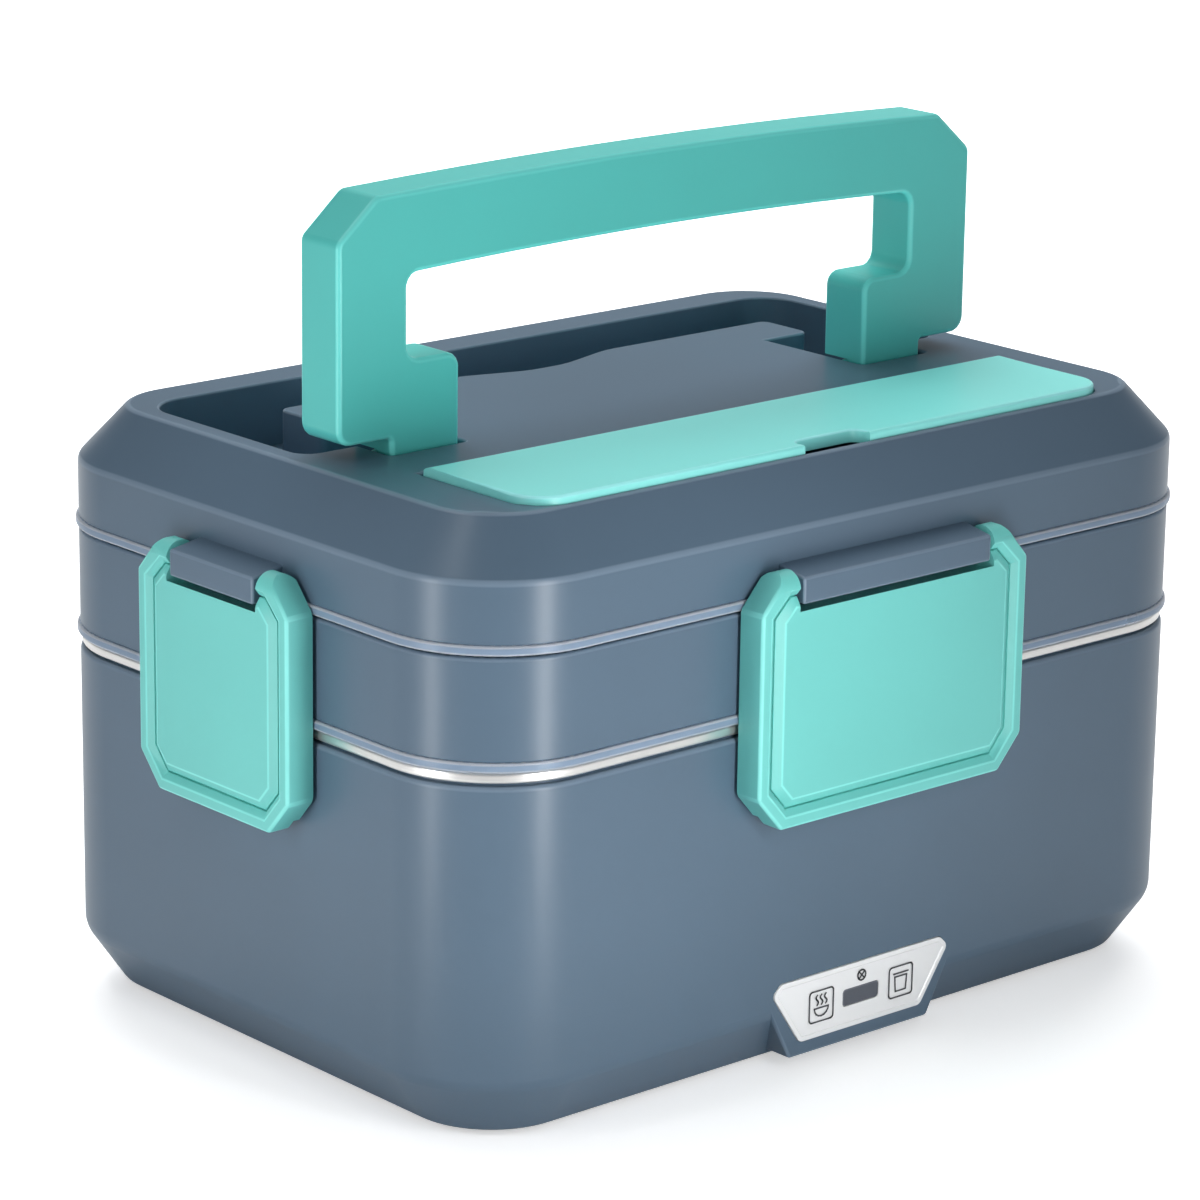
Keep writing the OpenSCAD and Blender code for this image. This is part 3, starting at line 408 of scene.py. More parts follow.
def moulded_plastic(name, colour, roughness=0.42, grain=0.035, spread=0.05):
    """Satin moulded plastic: a fine eroded grain, a slow drift of tone and a painted highlight that makes the
    rounded edges paler.
    """
    material = bpy.data.materials.new(name)
    material.use_nodes = True
    nodes, links = material.node_tree.nodes, material.node_tree.links
    shader = nodes["Principled BSDF"]
    place = nodes.new("ShaderNodeTexCoord")
    drift = nodes.new("ShaderNodeTexNoise")
    drift.inputs["Scale"].default_value = 14
    drift.inputs["Detail"].default_value = 3
    links.new(place.outputs["Object"], drift.inputs["Vector"])
    tone = nodes.new("ShaderNodeValToRGB")
    tone.color_ramp.elements[0].position = 0.3
    tone.color_ramp.elements[1].position = 0.7
    tone.color_ramp.elements[0].color = (*[c * (1 - spread) for c in colour], 1)
    tone.color_ramp.elements[1].color = (*[min(1, c * (1 + spread)) for c in colour], 1)
    links.new(drift.outputs["Fac"], tone.inputs["Fac"])
    # Painted highlight: the marked rounded edges are mixed towards a paler colour.
    edge_line = nodes.new("ShaderNodeAttribute")
    edge_line.attribute_name = "painted_edge_highlight"
    uneven = nodes.new("ShaderNodeMapRange")
    uneven.inputs["To Min"].default_value = 0.75
    uneven.inputs["To Max"].default_value = 1.0
    links.new(drift.outputs["Fac"], uneven.inputs["Value"])
    painted_edge_highlight = nodes.new("ShaderNodeMath")
    painted_edge_highlight.operation = "MULTIPLY"
    links.new(uneven.outputs["Result"], painted_edge_highlight.inputs[0])
    links.new(edge_line.outputs["Fac"], painted_edge_highlight.inputs[1])
    pale = nodes.new("ShaderNodeMix")
    pale.data_type = "RGBA"
    pale.inputs["B"].default_value = (*[min(1, c * 1.25 + 0.06) for c in colour], 1)
    links.new(painted_edge_highlight.outputs["Value"], pale.inputs["Factor"])
    links.new(tone.outputs["Color"], pale.inputs["A"])
    links.new(pale.outputs["Result"], shader.inputs["Base Color"])
    fine = nodes.new("ShaderNodeTexNoise")
    fine.inputs["Scale"].default_value = 1600
    fine.inputs["Detail"].default_value = 2
    links.new(place.outputs["Object"], fine.inputs["Vector"])
    skin = nodes.new("ShaderNodeMapRange")
    skin.inputs["To Min"].default_value = roughness - 0.04
    skin.inputs["To Max"].default_value = roughness + 0.05
    links.new(drift.outputs["Fac"], skin.inputs["Value"])
    links.new(skin.outputs["Result"], shader.inputs["Roughness"])
    bump = nodes.new("ShaderNodeBump")
    bump.inputs["Strength"].default_value = grain * 4
    bump.inputs["Distance"].default_value = 0.02 * mm
    links.new(fine.outputs["Fac"], bump.inputs["Height"])
    links.new(bump.outputs["Normal"], shader.inputs["Normal"])
    shader.inputs["Specular IOR Level"].default_value = 0.5
    return material


def coat(piece, material, slot_name, body, *stands_for):
    """Gives a finished piece its material and ties it to the body that it moves with."""
    piece.data.materials.clear()
    piece.data.materials.append(material)
    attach(piece, body)
    if stands_for:
        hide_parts(*stands_for)


foot_slope_z = base_lo.z + foot_slope_h
shoulder_z = base_hi.z - shadow_gap
base_shell = stacked("base_shell", foot_slope_z, shoulder_z)
step_in(base_shell, facing_down, foot_slope_in, foot_slope_h)
soften(base_shell, base_edge_r, at_height(shoulder_z))
soften(base_shell, slope_edge_r, at_height(foot_slope_z), paints_highlight=False)
soften(base_shell, base_edge_r, at_height(base_lo.z), paints_highlight=False)


def boss(name, top_w, low_w, y0, y1):
    top, low = foot_slope_z + boss_rise, base_lo.z + boss_lift
    piece = drawn(name, [(top_w / 2, top), (-top_w / 2, top), (-low_w / 2, low), (low_w / 2, low)], y0, y1)
    soften(piece, boss_edge_r, lambda a, b: max(a.z, b.z) > low + hair or at_height(low)(a, b))
    return piece


# The bosses stand a hair proud of the wall, so that the two share no plane.
front_y = -body_w / 2
flush = 0.02 * mm
boss_depth = 10.5 * mm
front_boss_top_w = 66.8 * mm
front_boss_low_w = 45.8 * mm
back_boss_top_w = 45 * mm
back_boss_low_w = 37 * mm
front_boss = boss("front_boss", front_boss_top_w, front_boss_low_w, front_y - flush, front_y + boss_depth)
back_boss = boss("back_boss", back_boss_top_w, back_boss_low_w, -front_y - boss_depth, -front_y + flush)
combine(base_shell, front_boss, "UNION")
combine(base_shell, back_boss, "UNION")

panel_recess = 0.8 * mm
panel_top = base_lo.z + 21.6 * mm
panel_low = base_lo.z + 5.6 * mm
panel_top_half = 29 * mm
panel_low_half = 20 * mm
panel_cut = 2.6 * mm
panel_side_lean = 0.6
panel_corner_r = 2 * mm
panel_cut_r = 1.6 * mm
seat_gap = 0.15 * mm


def panel_outline(grow):
    top, low = panel_top_half + grow, panel_low_half + grow * panel_side_lean
    right = [(top - panel_cut, panel_top + grow, panel_corner_r), (top, panel_top - panel_cut, panel_cut_r),
             (low, panel_low - grow, panel_corner_r)]
    return rounded(right + [(-x, z, r) for x, z, r in reversed(right)])


combine(base_shell, drawn("panel_seat", panel_outline(seat_gap), front_y - past, front_y + panel_recess),
        "DIFFERENCE")

inlet_lo, inlet_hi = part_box("power_inlet")
inlet_corner_r = 4 * mm
inlet_cut_past = 3 * mm
inlet_seat = block("inlet_seat", (inlet_lo.x - seat_gap, inlet_lo.y - past, inlet_lo.z - seat_gap),
                   (inlet_hi.x + seat_gap, inlet_hi.y + inlet_cut_past, inlet_hi.z + seat_gap))
pick_edges(inlet_seat, lambda a, b: abs(a.x - b.x) < hair and abs(a.z - b.z) < hair)
bpy.ops.mesh.bevel(offset=inlet_corner_r, segments=8, affect="EDGES")
bpy.ops.object.mode_set(mode="OBJECT")

step_in(base_shell, inner_floor, land_in - base_edge_r, 0)
step_in(base_shell, inner_floor, hair, shadow_gap)
step_in(base_shell, inner_floor, wall - land_in - hair, 0)
inner_slope_z = foot_slope_z + inner_slope_rise
sink(base_shell, inner_floor, inner_slope_z - base_hi.z)
inner_floor_z = base_lo.z + bottom_recess + base_floor_t
inner_drop = inner_slope_z - inner_floor_z
step_in(base_shell, inner_floor, inner_drop * foot_slope_in / foot_slope_h, -inner_drop)
step_in(base_shell, inner_roof, bottom_land - base_edge_r, 0)
sink(base_shell, inner_roof, bottom_recess)
combine(base_shell, inlet_seat, "DIFFERENCE")
lamp_lo, lamp_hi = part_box("indicator_window")
lamp_gap = 0.1 * mm
lamp_hole_depth = 4 * mm
lamp_hole = block("lamp_hole", (lamp_lo.x - lamp_gap, front_y - past, lamp_lo.z - lamp_gap),
                  (lamp_hi.x + lamp_gap, front_y + lamp_hole_depth, lamp_hi.z + lamp_gap))
combine(base_shell, lamp_hole, "DIFFERENCE")

catch_z0 = 71.0 * mm
catch_h = 2.8 * mm
catch_out = 2.6 * mm
front_catch_half = 36.8 * mm
side_catch_half = 22.3 * mm


def turned(piece, quarter_turns):
    """Turns a piece drawn at the front wall to another wall, with its place kept in its mesh."""
    piece.rotation_euler = (0, 0, quarter_turns * math.pi / 2)
    work_on(piece)
    bpy.ops.object.transform_apply(location=True, rotation=True, scale=True)
    return piece


for quarter in range(4):
    half, reach = (front_catch_half, body_w / 2) if quarter % 2 == 0 else (side_catch_half, body_l / 2)
    ledge = block("ledge", (-half, -reach - catch_out, catch_z0), (half, -reach + past, catch_z0 + catch_h))
    combine(base_shell, turned(ledge, quarter), "UNION")
smooth(base_shell)

satin_slate = moulded_plastic("satin_slate", slate_blue, roughness=0.33)
coat(base_shell, satin_slate, "body_plastic", "base", "base_housing")


# ---- Steel container ----
# The food goes in a pressed stainless steel pot. Its rolled rim lies on the base's inner edge and shows
# as a bright line under the tray's seal, with a thin shadow gap below it.

pot_lo, pot_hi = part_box("steel_container")
rim_d = 2.1 * mm
rim_in = 0.4 * mm
rim_rise = 0.4 * mm
pot_in = 11 * mm
sheet_t = 0.8 * mm
rim_edge_r = 0.7 * mm
pot_floor_r = 6 * mm

pot = stacked("pot", pot_lo.z, pot_hi.z, pot_in)
step_in(pot, facing_up, sheet_t, 0)
sink(pot, inner_floor, pot_lo.z + sheet_t - pot_hi.z)
rim = stacked("rim", pot_hi.z - rim_d, pot_hi.z + rim_rise, rim_in)
step_in(rim, facing_up, pot_in + sheet_t / 2 - rim_in, 0)
step_in(rim, facing_down, pot_in + sheet_t / 2 - rim_in, 0)
pick_faces(rim, lambda m, d: inner_floor(m, d) or inner_roof(m, d))
bpy.ops.mesh.bridge_edge_loops()
bpy.ops.object.mode_set(mode="OBJECT")
soften(rim, rim_edge_r, level)
soften(pot, pot_floor_r, lambda a, b: level(a, b) and a.z < pot_lo.z + 1 * mm, steps=6)
nothing_selected()
rim.select_set(True)
pot.select_set(True)
bpy.context.view_layer.objects.active = pot
bpy.ops.object.join()
smooth(pot)

polished_steel = bpy.data.materials.new("polished_steel")
polished_steel.use_nodes = True
nodes, links = polished_steel.node_tree.nodes, polished_steel.node_tree.links
steel_shader = nodes["Principled BSDF"]
steel_shader.inputs["Metallic"].default_value = 0.85
place = nodes.new("ShaderNodeTexCoord")
brushing = nodes.new("ShaderNodeMapping")
brushing.inputs["Scale"].default_value = (40, 40, 3000)
fine_lines = nodes.new("ShaderNodeTexNoise")
fine_lines.inputs["Scale"].default_value = 1
steel_tone = nodes.new("ShaderNodeValToRGB")
steel_tone.color_ramp.elements[0].color = (0.78, 0.77, 0.75, 1)
steel_tone.color_ramp.elements[1].color = (0.92, 0.91, 0.885, 1)
steel_gloss = nodes.new("ShaderNodeMapRange")
steel_gloss.inputs["To Min"].default_value = 0.25
steel_gloss.inputs["To Max"].default_value = 0.35
links.new(place.outputs["Object"], brushing.inputs["Vector"])
links.new(brushing.outputs["Vector"], fine_lines.inputs["Vector"])
links.new(fine_lines.outputs["Fac"], steel_tone.inputs["Fac"])
links.new(steel_tone.outputs["Color"], steel_shader.inputs["Base Color"])
links.new(fine_lines.outputs["Fac"], steel_gloss.inputs["Value"])
links.new(steel_gloss.outputs["Result"], steel_shader.inputs["Roughness"])
coat(pot, polished_steel, "polished_steel", "container", "steel_container")


# ---- Upper tray ----
# A shallow moulding in the same satin plastic stands on the pot's rim and makes the middle band.

tray_floor_t = 2 * mm
tray_edge_r = 0.9 * mm
tight_edge_r = 0.25 * mm
tray_shell = stacked("tray_shell", body_lo.z, body_hi.z)
step_in(tray_shell, facing_up, wall, 0)
sink(tray_shell, inner_floor, body_lo.z + tray_floor_t - body_hi.z)
soften(tray_shell, tray_edge_r, at_height(body_hi.z))
soften(tray_shell, tight_edge_r, at_height(body_lo.z), paints_highlight=False)
smooth(tray_shell)
coat(tray_shell, satin_slate, "body_plastic", "tray", "upper_tray")


# ---- Seals ----
# Two bands of translucent silicone, one pressed under the tray and one under the lid. Their rounded
# edges carry a painted highlight, so they are paler and show as fine lines round the box.

seal_width = 6 * mm
seal_gap = 0.4 * mm
seal_lip_r = 0.7 * mm

milky_silicone = bpy.data.materials.new("milky_silicone")
milky_silicone.use_nodes = True
nodes, links = milky_silicone.node_tree.nodes, milky_silicone.node_tree.links
seal_shader = nodes["Principled BSDF"]
seal_shader.inputs["Transmission Weight"].default_value = 0.45
seal_shader.inputs["IOR"].default_value = 1.41
place = nodes.new("ShaderNodeTexCoord")
cloudy = nodes.new("ShaderNodeTexNoise")
cloudy.inputs["Scale"].default_value = 60
seal_tone = nodes.new("ShaderNodeValToRGB")
seal_tone.color_ramp.elements[0].color = (0.33, 0.47, 0.66, 1)
seal_tone.color_ramp.elements[1].color = (0.42, 0.57, 0.76, 1)
# Painted highlight: the rounded lips are mixed towards a pale blue.
seal_lip = nodes.new("ShaderNodeAttribute")
seal_lip.attribute_name = "painted_edge_highlight"
pale_lip = nodes.new("ShaderNodeMix")
pale_lip.data_type = "RGBA"
pale_lip.inputs["B"].default_value = (0.76, 0.82, 0.92, 1)
seal_gloss = nodes.new("ShaderNodeMapRange")
seal_gloss.inputs["To Min"].default_value = 0.24
seal_gloss.inputs["To Max"].default_value = 0.36
links.new(place.outputs["Object"], cloudy.inputs["Vector"])
links.new(cloudy.outputs["Fac"], seal_tone.inputs["Fac"])
links.new(seal_tone.outputs["Color"], pale_lip.inputs["A"])
links.new(seal_lip.outputs["Fac"], pale_lip.inputs["Factor"])
links.new(pale_lip.outputs["Result"], seal_shader.inputs["Base Color"])
links.new(cloudy.outputs["Fac"], seal_gloss.inputs["Value"])
links.new(seal_gloss.outputs["Result"], seal_shader.inputs["Roughness"])

for node, body in (("tray_seal", "tray"), ("lid_seal", "lid")):
    seal_lo, seal_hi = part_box(node)
    proud = seal_hi.x - body_l / 2
    seal = stacked(node + "_band", seal_lo.z + seal_gap, seal_hi.z, -proud)
    step_in(seal, facing_up, seal_width + proud, 0)
    step_in(seal, facing_down, seal_width + proud, 0)
    pick_faces(seal, lambda m, d: inner_floor(m, d) or inner_roof(m, d))
    bpy.ops.mesh.bridge_edge_loops()
    bpy.ops.object.mode_set(mode="OBJECT")
    soften(seal, seal_lip_r, level)
    smooth(seal)
    coat(seal, milky_silicone, "silicone", body, node)


# ---- Lid ----
# The lid is one moulding: an upright skirt, a sloped band and a flat top. A deep trough takes the
# folded handle round a flush platform, and a bay in front of it holds the cutlery.

lid_z = 119.8 * mm
lid_slope_z = 134.0 * mm
lid_slope_in = 12 * mm
lid_top_z = 146.8 * mm
inner_recess = 2.2 * mm

lid_top_edge_r = 1 * mm
lid_slope_edge_r = 1 * mm
opening_edge_r = 0.7 * mm
skirt_edge_r = 0.25 * mm

lid = stacked("lid", lid_z, lid_slope_z)
step_in(lid, facing_up, lid_slope_in, lid_top_z - lid_slope_z)
soften(lid, lid_slope_edge_r, at_height(lid_slope_z))
soften(lid, lid_top_edge_r, at_height(lid_top_z))
soften(lid, skirt_edge_r, at_height(lid_z))
step_in(lid, inner_roof, wall - skirt_edge_r, 0)
sink(lid, inner_roof, inner_recess)

trough_z = 130.6 * mm
trough_front_r = 5 * mm
trough_back_r = 11 * mm
trough_half = 103.0 * mm
trough_back_y = 61.9 * mm
trough_front_y = -1.9 * mm
slot_front_y = -14.4 * mm
slot_in = 64.2 * mm
slot_out = 87.4 * mm
platform_half = 79.7 * mm
platform_back_y = 38.2 * mm
platform_step_y = 21.4 * mm
platform_corner_r = 2.5 * mm
slot_corner_r = 1.5 * mm
slot_lap = 6 * mm
stem_in = 4 * mm
over = 4 * mm

trough = block("trough", (-trough_half, trough_front_y, trough_z),
               (trough_half, trough_back_y, lid_top_z + over))
round_uprights(trough, trough_front_r, 6, lambda p: p.y < platform_back_y)
round_uprights(trough, trough_back_r, 8, lambda p: p.y > platform_back_y)
for sx in (-1, 1):
    x_a, x_b = sorted((sx * slot_in, sx * slot_out))
    slot_tool = block("slot_tool", (x_a, slot_front_y, trough_z),
                      (x_b, trough_front_y + slot_lap, lid_top_z + over))
    round_uprights(slot_tool, slot_corner_r, 4, lambda p: p.y < trough_front_y)
    combine(trough, slot_tool, "UNION")
platform = block("platform", (-platform_half, platform_step_y, trough_z - over),
                 (platform_half, platform_back_y, lid_top_z + 2 * over))
round_uprights(platform, platform_corner_r, 5)
stem = block("stem", (-slot_in, slot_front_y - over, trough_z - over),
             (slot_in, platform_back_y - stem_in, lid_top_z + 2 * over))
combine(platform, stem, "UNION")
scoop_half = 24 * mm
scoop_flare = 18 * mm
scoop_depth = 5.6 * mm
scoop_round = 3.4 * mm
scoop = block("scoop", (-scoop_half, platform_back_y - scoop_depth, trough_z - 2 * over),
              (scoop_half, platform_back_y, lid_top_z + 3 * over))
pick_edges(scoop, lambda a, b: upright(a, b) and a.y < platform_back_y - hair)
bpy.ops.transform.resize(value=((scoop_half - scoop_flare) / scoop_half, 1, 1))
bpy.ops.object.mode_set(mode="OBJECT")
pick_faces(scoop, lambda m, d: d.y > straight)
bpy.ops.mesh.extrude_region_move(TRANSFORM_OT_translate={"value": (0, over, 0)})
bpy.ops.object.mode_set(mode="OBJECT")
round_uprights(scoop, scoop_round, 8, lambda p: p.y < platform_back_y - hair)
combine(platform, scoop, "DIFFERENCE")
round_uprights(platform, scoop_round, 8, lambda p: abs(p.y - platform_back_y) < hair and
               abs(abs(p.x) - scoop_half) < hair)
combine(trough, platform, "DIFFERENCE")
combine(lid, trough, "DIFFERENCE")

cover_half = 92.5 * mm
cover_front_y = -72.1 * mm
cover_back_y = -31.1 * mm
cover_gap = 0.3 * mm
cover_low_z = 145.6 * mm
cover_top_z = 148.8 * mm
cover_hinge_z = 144.8 * mm
cover_hinge_y = -35.1 * mm
cover_corner_r = 9 * mm
barrel_way_r = 4.25 * mm
bay_half = 89.5 * mm
bay_front_y = -69.1 * mm
bay_corner_r = 3 * mm
bay_z = 128.8 * mm
softened_from_y = -68 * mm


def rod(radius, half_length, middle, sides):
    """A round bar along x, with its place in its mesh."""
    nothing_selected()
    bpy.ops.mesh.primitive_cylinder_add(vertices=sides, radius=radius, depth=2 * half_length, location=middle,
                                        rotation=(0, math.pi / 2, 0))
    bpy.ops.object.transform_apply(location=True, rotation=True, scale=True)
    return bpy.context.object


seat = block("seat", (-cover_half - cover_gap, cover_front_y - cover_gap, cover_low_z - cover_gap),
             (cover_half + cover_gap, cover_back_y + cover_gap, lid_top_z + over))
round_uprights(seat, cover_corner_r, 8, lambda p: p.y < cover_hinge_y)
combine(lid, seat, "DIFFERENCE")
bay = block("bay", (-bay_half, bay_front_y, bay_z), (bay_half, cover_back_y + cover_gap, cover_low_z))
round_uprights(bay, bay_corner_r, 5, lambda p: p.y < cover_hinge_y)
combine(lid, bay, "DIFFERENCE")
cover_axis = (0, cover_hinge_y, cover_hinge_z)
combine(lid, rod(barrel_way_r, cover_half + cover_gap, cover_axis, 40), "DIFFERENCE")
soften(lid, opening_edge_r, lambda a, b: at_height(lid_top_z)(a, b) and min(a.y, b.y) > softened_from_y and
       max(a.y, b.y) < trough_back_y + past and max(abs(a.x), abs(b.x)) < trough_half + past)

bar_low_z = 118.6 * mm
bar_front_top = 125.0 * mm
bar_back_top = 126.7 * mm
bar_out = 8.7 * mm
bar_clear = 1.2 * mm
bar_root = 1 * mm
bar_edge_r = 0.7 * mm
front_bar_half = 30.4 * mm
side_bar_half = 15.9 * mm


def hinge_bar(name, half, reach):
    """The bar that a latch hangs on: drawn at the front wall, its top sloping up to the skirt."""
    bar = block(name, (-half, -reach - bar_out, lid_z), (half, -reach + bar_root, bar_front_top))
    pick_edges(bar, lambda a, b: a.z > bar_low_z and b.z > bar_low_z and min(a.y, b.y) > -reach and
               min(a.z, b.z) > lid_z + past)
    bpy.ops.transform.translate(value=(0, 0, bar_back_top - bar_front_top))
    bpy.ops.mesh.select_all(action="SELECT")
    bpy.ops.mesh.bisect(plane_co=(0, -reach - bar_clear, 0), plane_no=(0, 1, 0))
    bpy.ops.object.mode_set(mode="OBJECT")
    pick_faces(bar, lambda m, d: facing_down(m, d) and m.y < -reach - bar_clear)
    bpy.ops.mesh.extrude_region_move(TRANSFORM_OT_translate={"value": (0, 0, bar_low_z - lid_z)})
    bpy.ops.mesh.select_all(action="SELECT")
    bpy.ops.mesh.dissolve_limited(angle_limit=math.radians(0.2))
    bpy.ops.object.mode_set(mode="OBJECT")
    soften(bar, bar_edge_r, lambda a, b: min(a.y, b.y) < -reach - bar_clear - hair)
    return bar


for quarter in range(4):
    half, reach = (front_bar_half, body_w / 2) if quarter % 2 == 0 else (side_bar_half, body_l / 2)
    combine(lid, turned(hinge_bar("hinge_bar", half, reach), quarter), "UNION")
smooth(lid)
coat(lid, satin_slate, "body_plastic", "lid", "lid_shell")


# ---- Latches ----
# Four teal clips hang on the hinge bars and reach down over the tray to the base. Each is a hollow
# moulding with cut corners, a groove round its raised middle and two ears beside the bar.

latch_top_z = 126.4 * mm
latch_low_z = 65.4 * mm
latch_cut_w = 7.4 * mm
latch_cut_h = 8.4 * mm
latch_out = 8.7 * mm
latch_clear = 1.2 * mm
latch_face_t = 2.5 * mm
latch_rim_t = 2.2 * mm
ear_w = 11.5 * mm
window_z = 116.0 * mm
window_lip = 1.2 * mm
latch_edge_r = 0.9 * mm
frame_w = 2.9 * mm
groove_slope = 1.6 * mm
raised_slope = 2.1 * mm
groove_d = 1.3 * mm
slit_draft = 0.08 * mm
slit_w = 0.35 * mm
slit_d = 0.8 * mm
groove_top_drop = 0.8 * mm
latch_hinge_z = 122.2 * mm
latch_hinge_out = 4.5 * mm
ear_r = 4.2 * mm
cut_shrink = 0.42
loop_edge_r = 0.4 * mm
loop_in = 2 * mm
lip_edge_r = 0.5 * mm
rib_in = 4 * mm
rib_low_z = 67.9 * mm
rib_top_z = 70.7 * mm
rib_clear = 2.9 * mm
rib_lap = 0.1 * mm
front_latch_half = 43 * mm
side_latch_half = 28.5 * mm
latch_teal = (0.17, 0.63, 0.585)


def latch_outline(half, inset, top):
    slope = inset * cut_shrink
    right = [
        (half - inset, top - (latch_cut_h + slope if top == latch_top_z else 0)),
        (half - inset, latch_low_z + latch_cut_h + slope),
        (half - latch_cut_w - inset + slope, latch_low_z + inset)]
    if top == latch_top_z:
        right.insert(0, (half - latch_cut_w - inset + slope, top - inset))
    return right + [(-x, z) for x, z in reversed(right)]


def latch(name, half, reach):
    """A latch at the front wall: outside first, then its ears, hollow, window and groove."""
    face_y = -reach - latch_out
    back_y = -reach - latch_clear
    shell = drawn(name, latch_outline(half, 0, latch_top_z), face_y, back_y)
    soften(shell, latch_edge_r, lambda a, b: min(a.y, b.y) < face_y + hair)
    pick_faces(shell, facing_front)
    bpy.ops.mesh.inset(thickness=frame_w - latch_edge_r, depth=0)
    bpy.ops.object.mode_set(mode="OBJECT")
    middle = next(face for face in shell.data.polygons if face.select)
    for number in middle.vertices:
        if shell.data.vertices[number].co.z > latch_top_z - latch_cut_h:
            shell.data.vertices[number].co.z -= groove_top_drop
    bpy.ops.object.mode_set(mode="EDIT")
    bpy.ops.mesh.inset(thickness=groove_slope, depth=-groove_d)
    bpy.ops.mesh.inset(thickness=slit_draft, depth=-slit_d)
    bpy.ops.mesh.inset(thickness=slit_w, depth=0)
    bpy.ops.mesh.inset(thickness=slit_draft, depth=slit_d)
    bpy.ops.mesh.inset(thickness=raised_slope, depth=groove_d)
    bpy.ops.object.mode_set(mode="OBJECT")
    soften(shell, loop_edge_r, lambda a, b: max(a.y, b.y) < face_y + hair and
           max(abs(a.x), abs(b.x)) < half - loop_in and
           min(a.z, b.z) > latch_low_z + loop_in and max(a.z, b.z) < latch_top_z - loop_in, steps=3)
    ear_round = block("ear_round", (-half - past, face_y - past, latch_hinge_z),
                      (half + past, back_y + past, latch_top_z + past))
    ear_axis = (0, -reach - latch_hinge_out, latch_hinge_z)
    combine(ear_round, rod(ear_r, half + 2 * past, ear_axis, 48), "DIFFERENCE")
    combine(shell, ear_round, "DIFFERENCE")
    hollow = drawn("hollow", latch_outline(half, latch_rim_t, window_z - latch_rim_t),
                   face_y + latch_face_t, back_y + past)
    combine(shell, hollow, "DIFFERENCE")
    window = block("window", (ear_w - half, face_y - past, window_z),
                   (half - ear_w, back_y + past, latch_top_z + past))
    pick_edges(window, lambda a, b: True)
    bpy.ops.mesh.bisect(plane_co=(0, face_y + latch_face_t, 0), plane_no=(0, 1, 0))
    bpy.ops.object.mode_set(mode="OBJECT")
    pick_edges(window, lambda a, b: max(a.z, b.z) < window_z + hair and max(a.y, b.y) < face_y)
    bpy.ops.transform.translate(value=(0, 0, window_lip * (latch_face_t + past) / latch_face_t))
    bpy.ops.object.mode_set(mode="OBJECT")
    combine(shell, window, "DIFFERENCE")
    soften(shell, lip_edge_r, lambda a, b: max(a.y, b.y) < face_y + hair and
           max(abs(a.x), abs(b.x)) < half - ear_w + hair and at_height(window_z + window_lip)(a, b), steps=3)
    rib_half = half - latch_rim_t - rib_in
    rib = block("rib", (-rib_half, face_y + latch_face_t - rib_lap, rib_low_z),
                (rib_half, -reach - rib_clear, rib_top_z))
    foot_way = block("foot_way", (-rib_half - past, -reach - rib_clear, latch_low_z - past),
                     (rib_half + past, back_y + past, latch_low_z + latch_rim_t + past))
    combine(shell, foot_way, "DIFFERENCE")
    combine(shell, rib, "UNION")
    return shell


teal_plastic = moulded_plastic("teal_plastic", latch_teal, roughness=0.4, spread=0.03)
for quarter, node in enumerate(("front_latch", "right_latch", "back_latch", "left_latch")):
    half, reach = (front_latch_half, body_w / 2) if quarter % 2 == 0 else (side_latch_half, body_l / 2)
    clip = turned(latch(node + "_clip", half, reach), quarter)
    smooth(clip)
    coat(clip, teal_plastic, "teal_plastic", node, node)


# ---- Handle ----
# A thick teal arch turns on two steel pins in the lid. Each leg steps in at its inner side and ends
# in a foot that drops into its slot, while its outer lower end stands just clear of the lid.

handle_hinge_z = 141.3 * mm
handle_front_y = -13.0 * mm
handle_back_y = 1.4 * mm
handle_half = 101.6 * mm
handle_h = 66.2 * mm
grip_rise = 1.8 * mm
grip_h = 19.1 * mm
leg_w = 20.5 * mm
cut_w = 11.4 * mm
cut_h = 9.8 * mm
leg_end_h = 8.9 * mm
step_h = 26.9 * mm
step_half = 65.6 * mm
foot_half = 86.0 * mm
foot_r = 5.5 * mm
handle_edge_r = 1.3 * mm
arch_steps = 5
outer_corner_r = 3 * mm
inner_corner_r = 3.5 * mm
leg_end_r = 4 * mm
foot_corner_r = 1 * mm
heel_drop = 8 * mm
heel_past = 4 * mm


def arch(x, half, ends_at):
    return ends_at + grip_rise * (1 - (x / half) ** 2)


top_half = handle_half - cut_w
leg_half = handle_half - leg_w
grip_top_z = handle_hinge_z + handle_h


def arched(half, ends_at, corner_r):
    """The points of one arched edge from left to right, with a corner radius at its two ends."""
    points = []
    for i in range(-arch_steps, arch_steps + 1):
        x = half * i / arch_steps
        points.append((x, arch(x, half, ends_at), corner_r if abs(i) == arch_steps else 0))
    return points


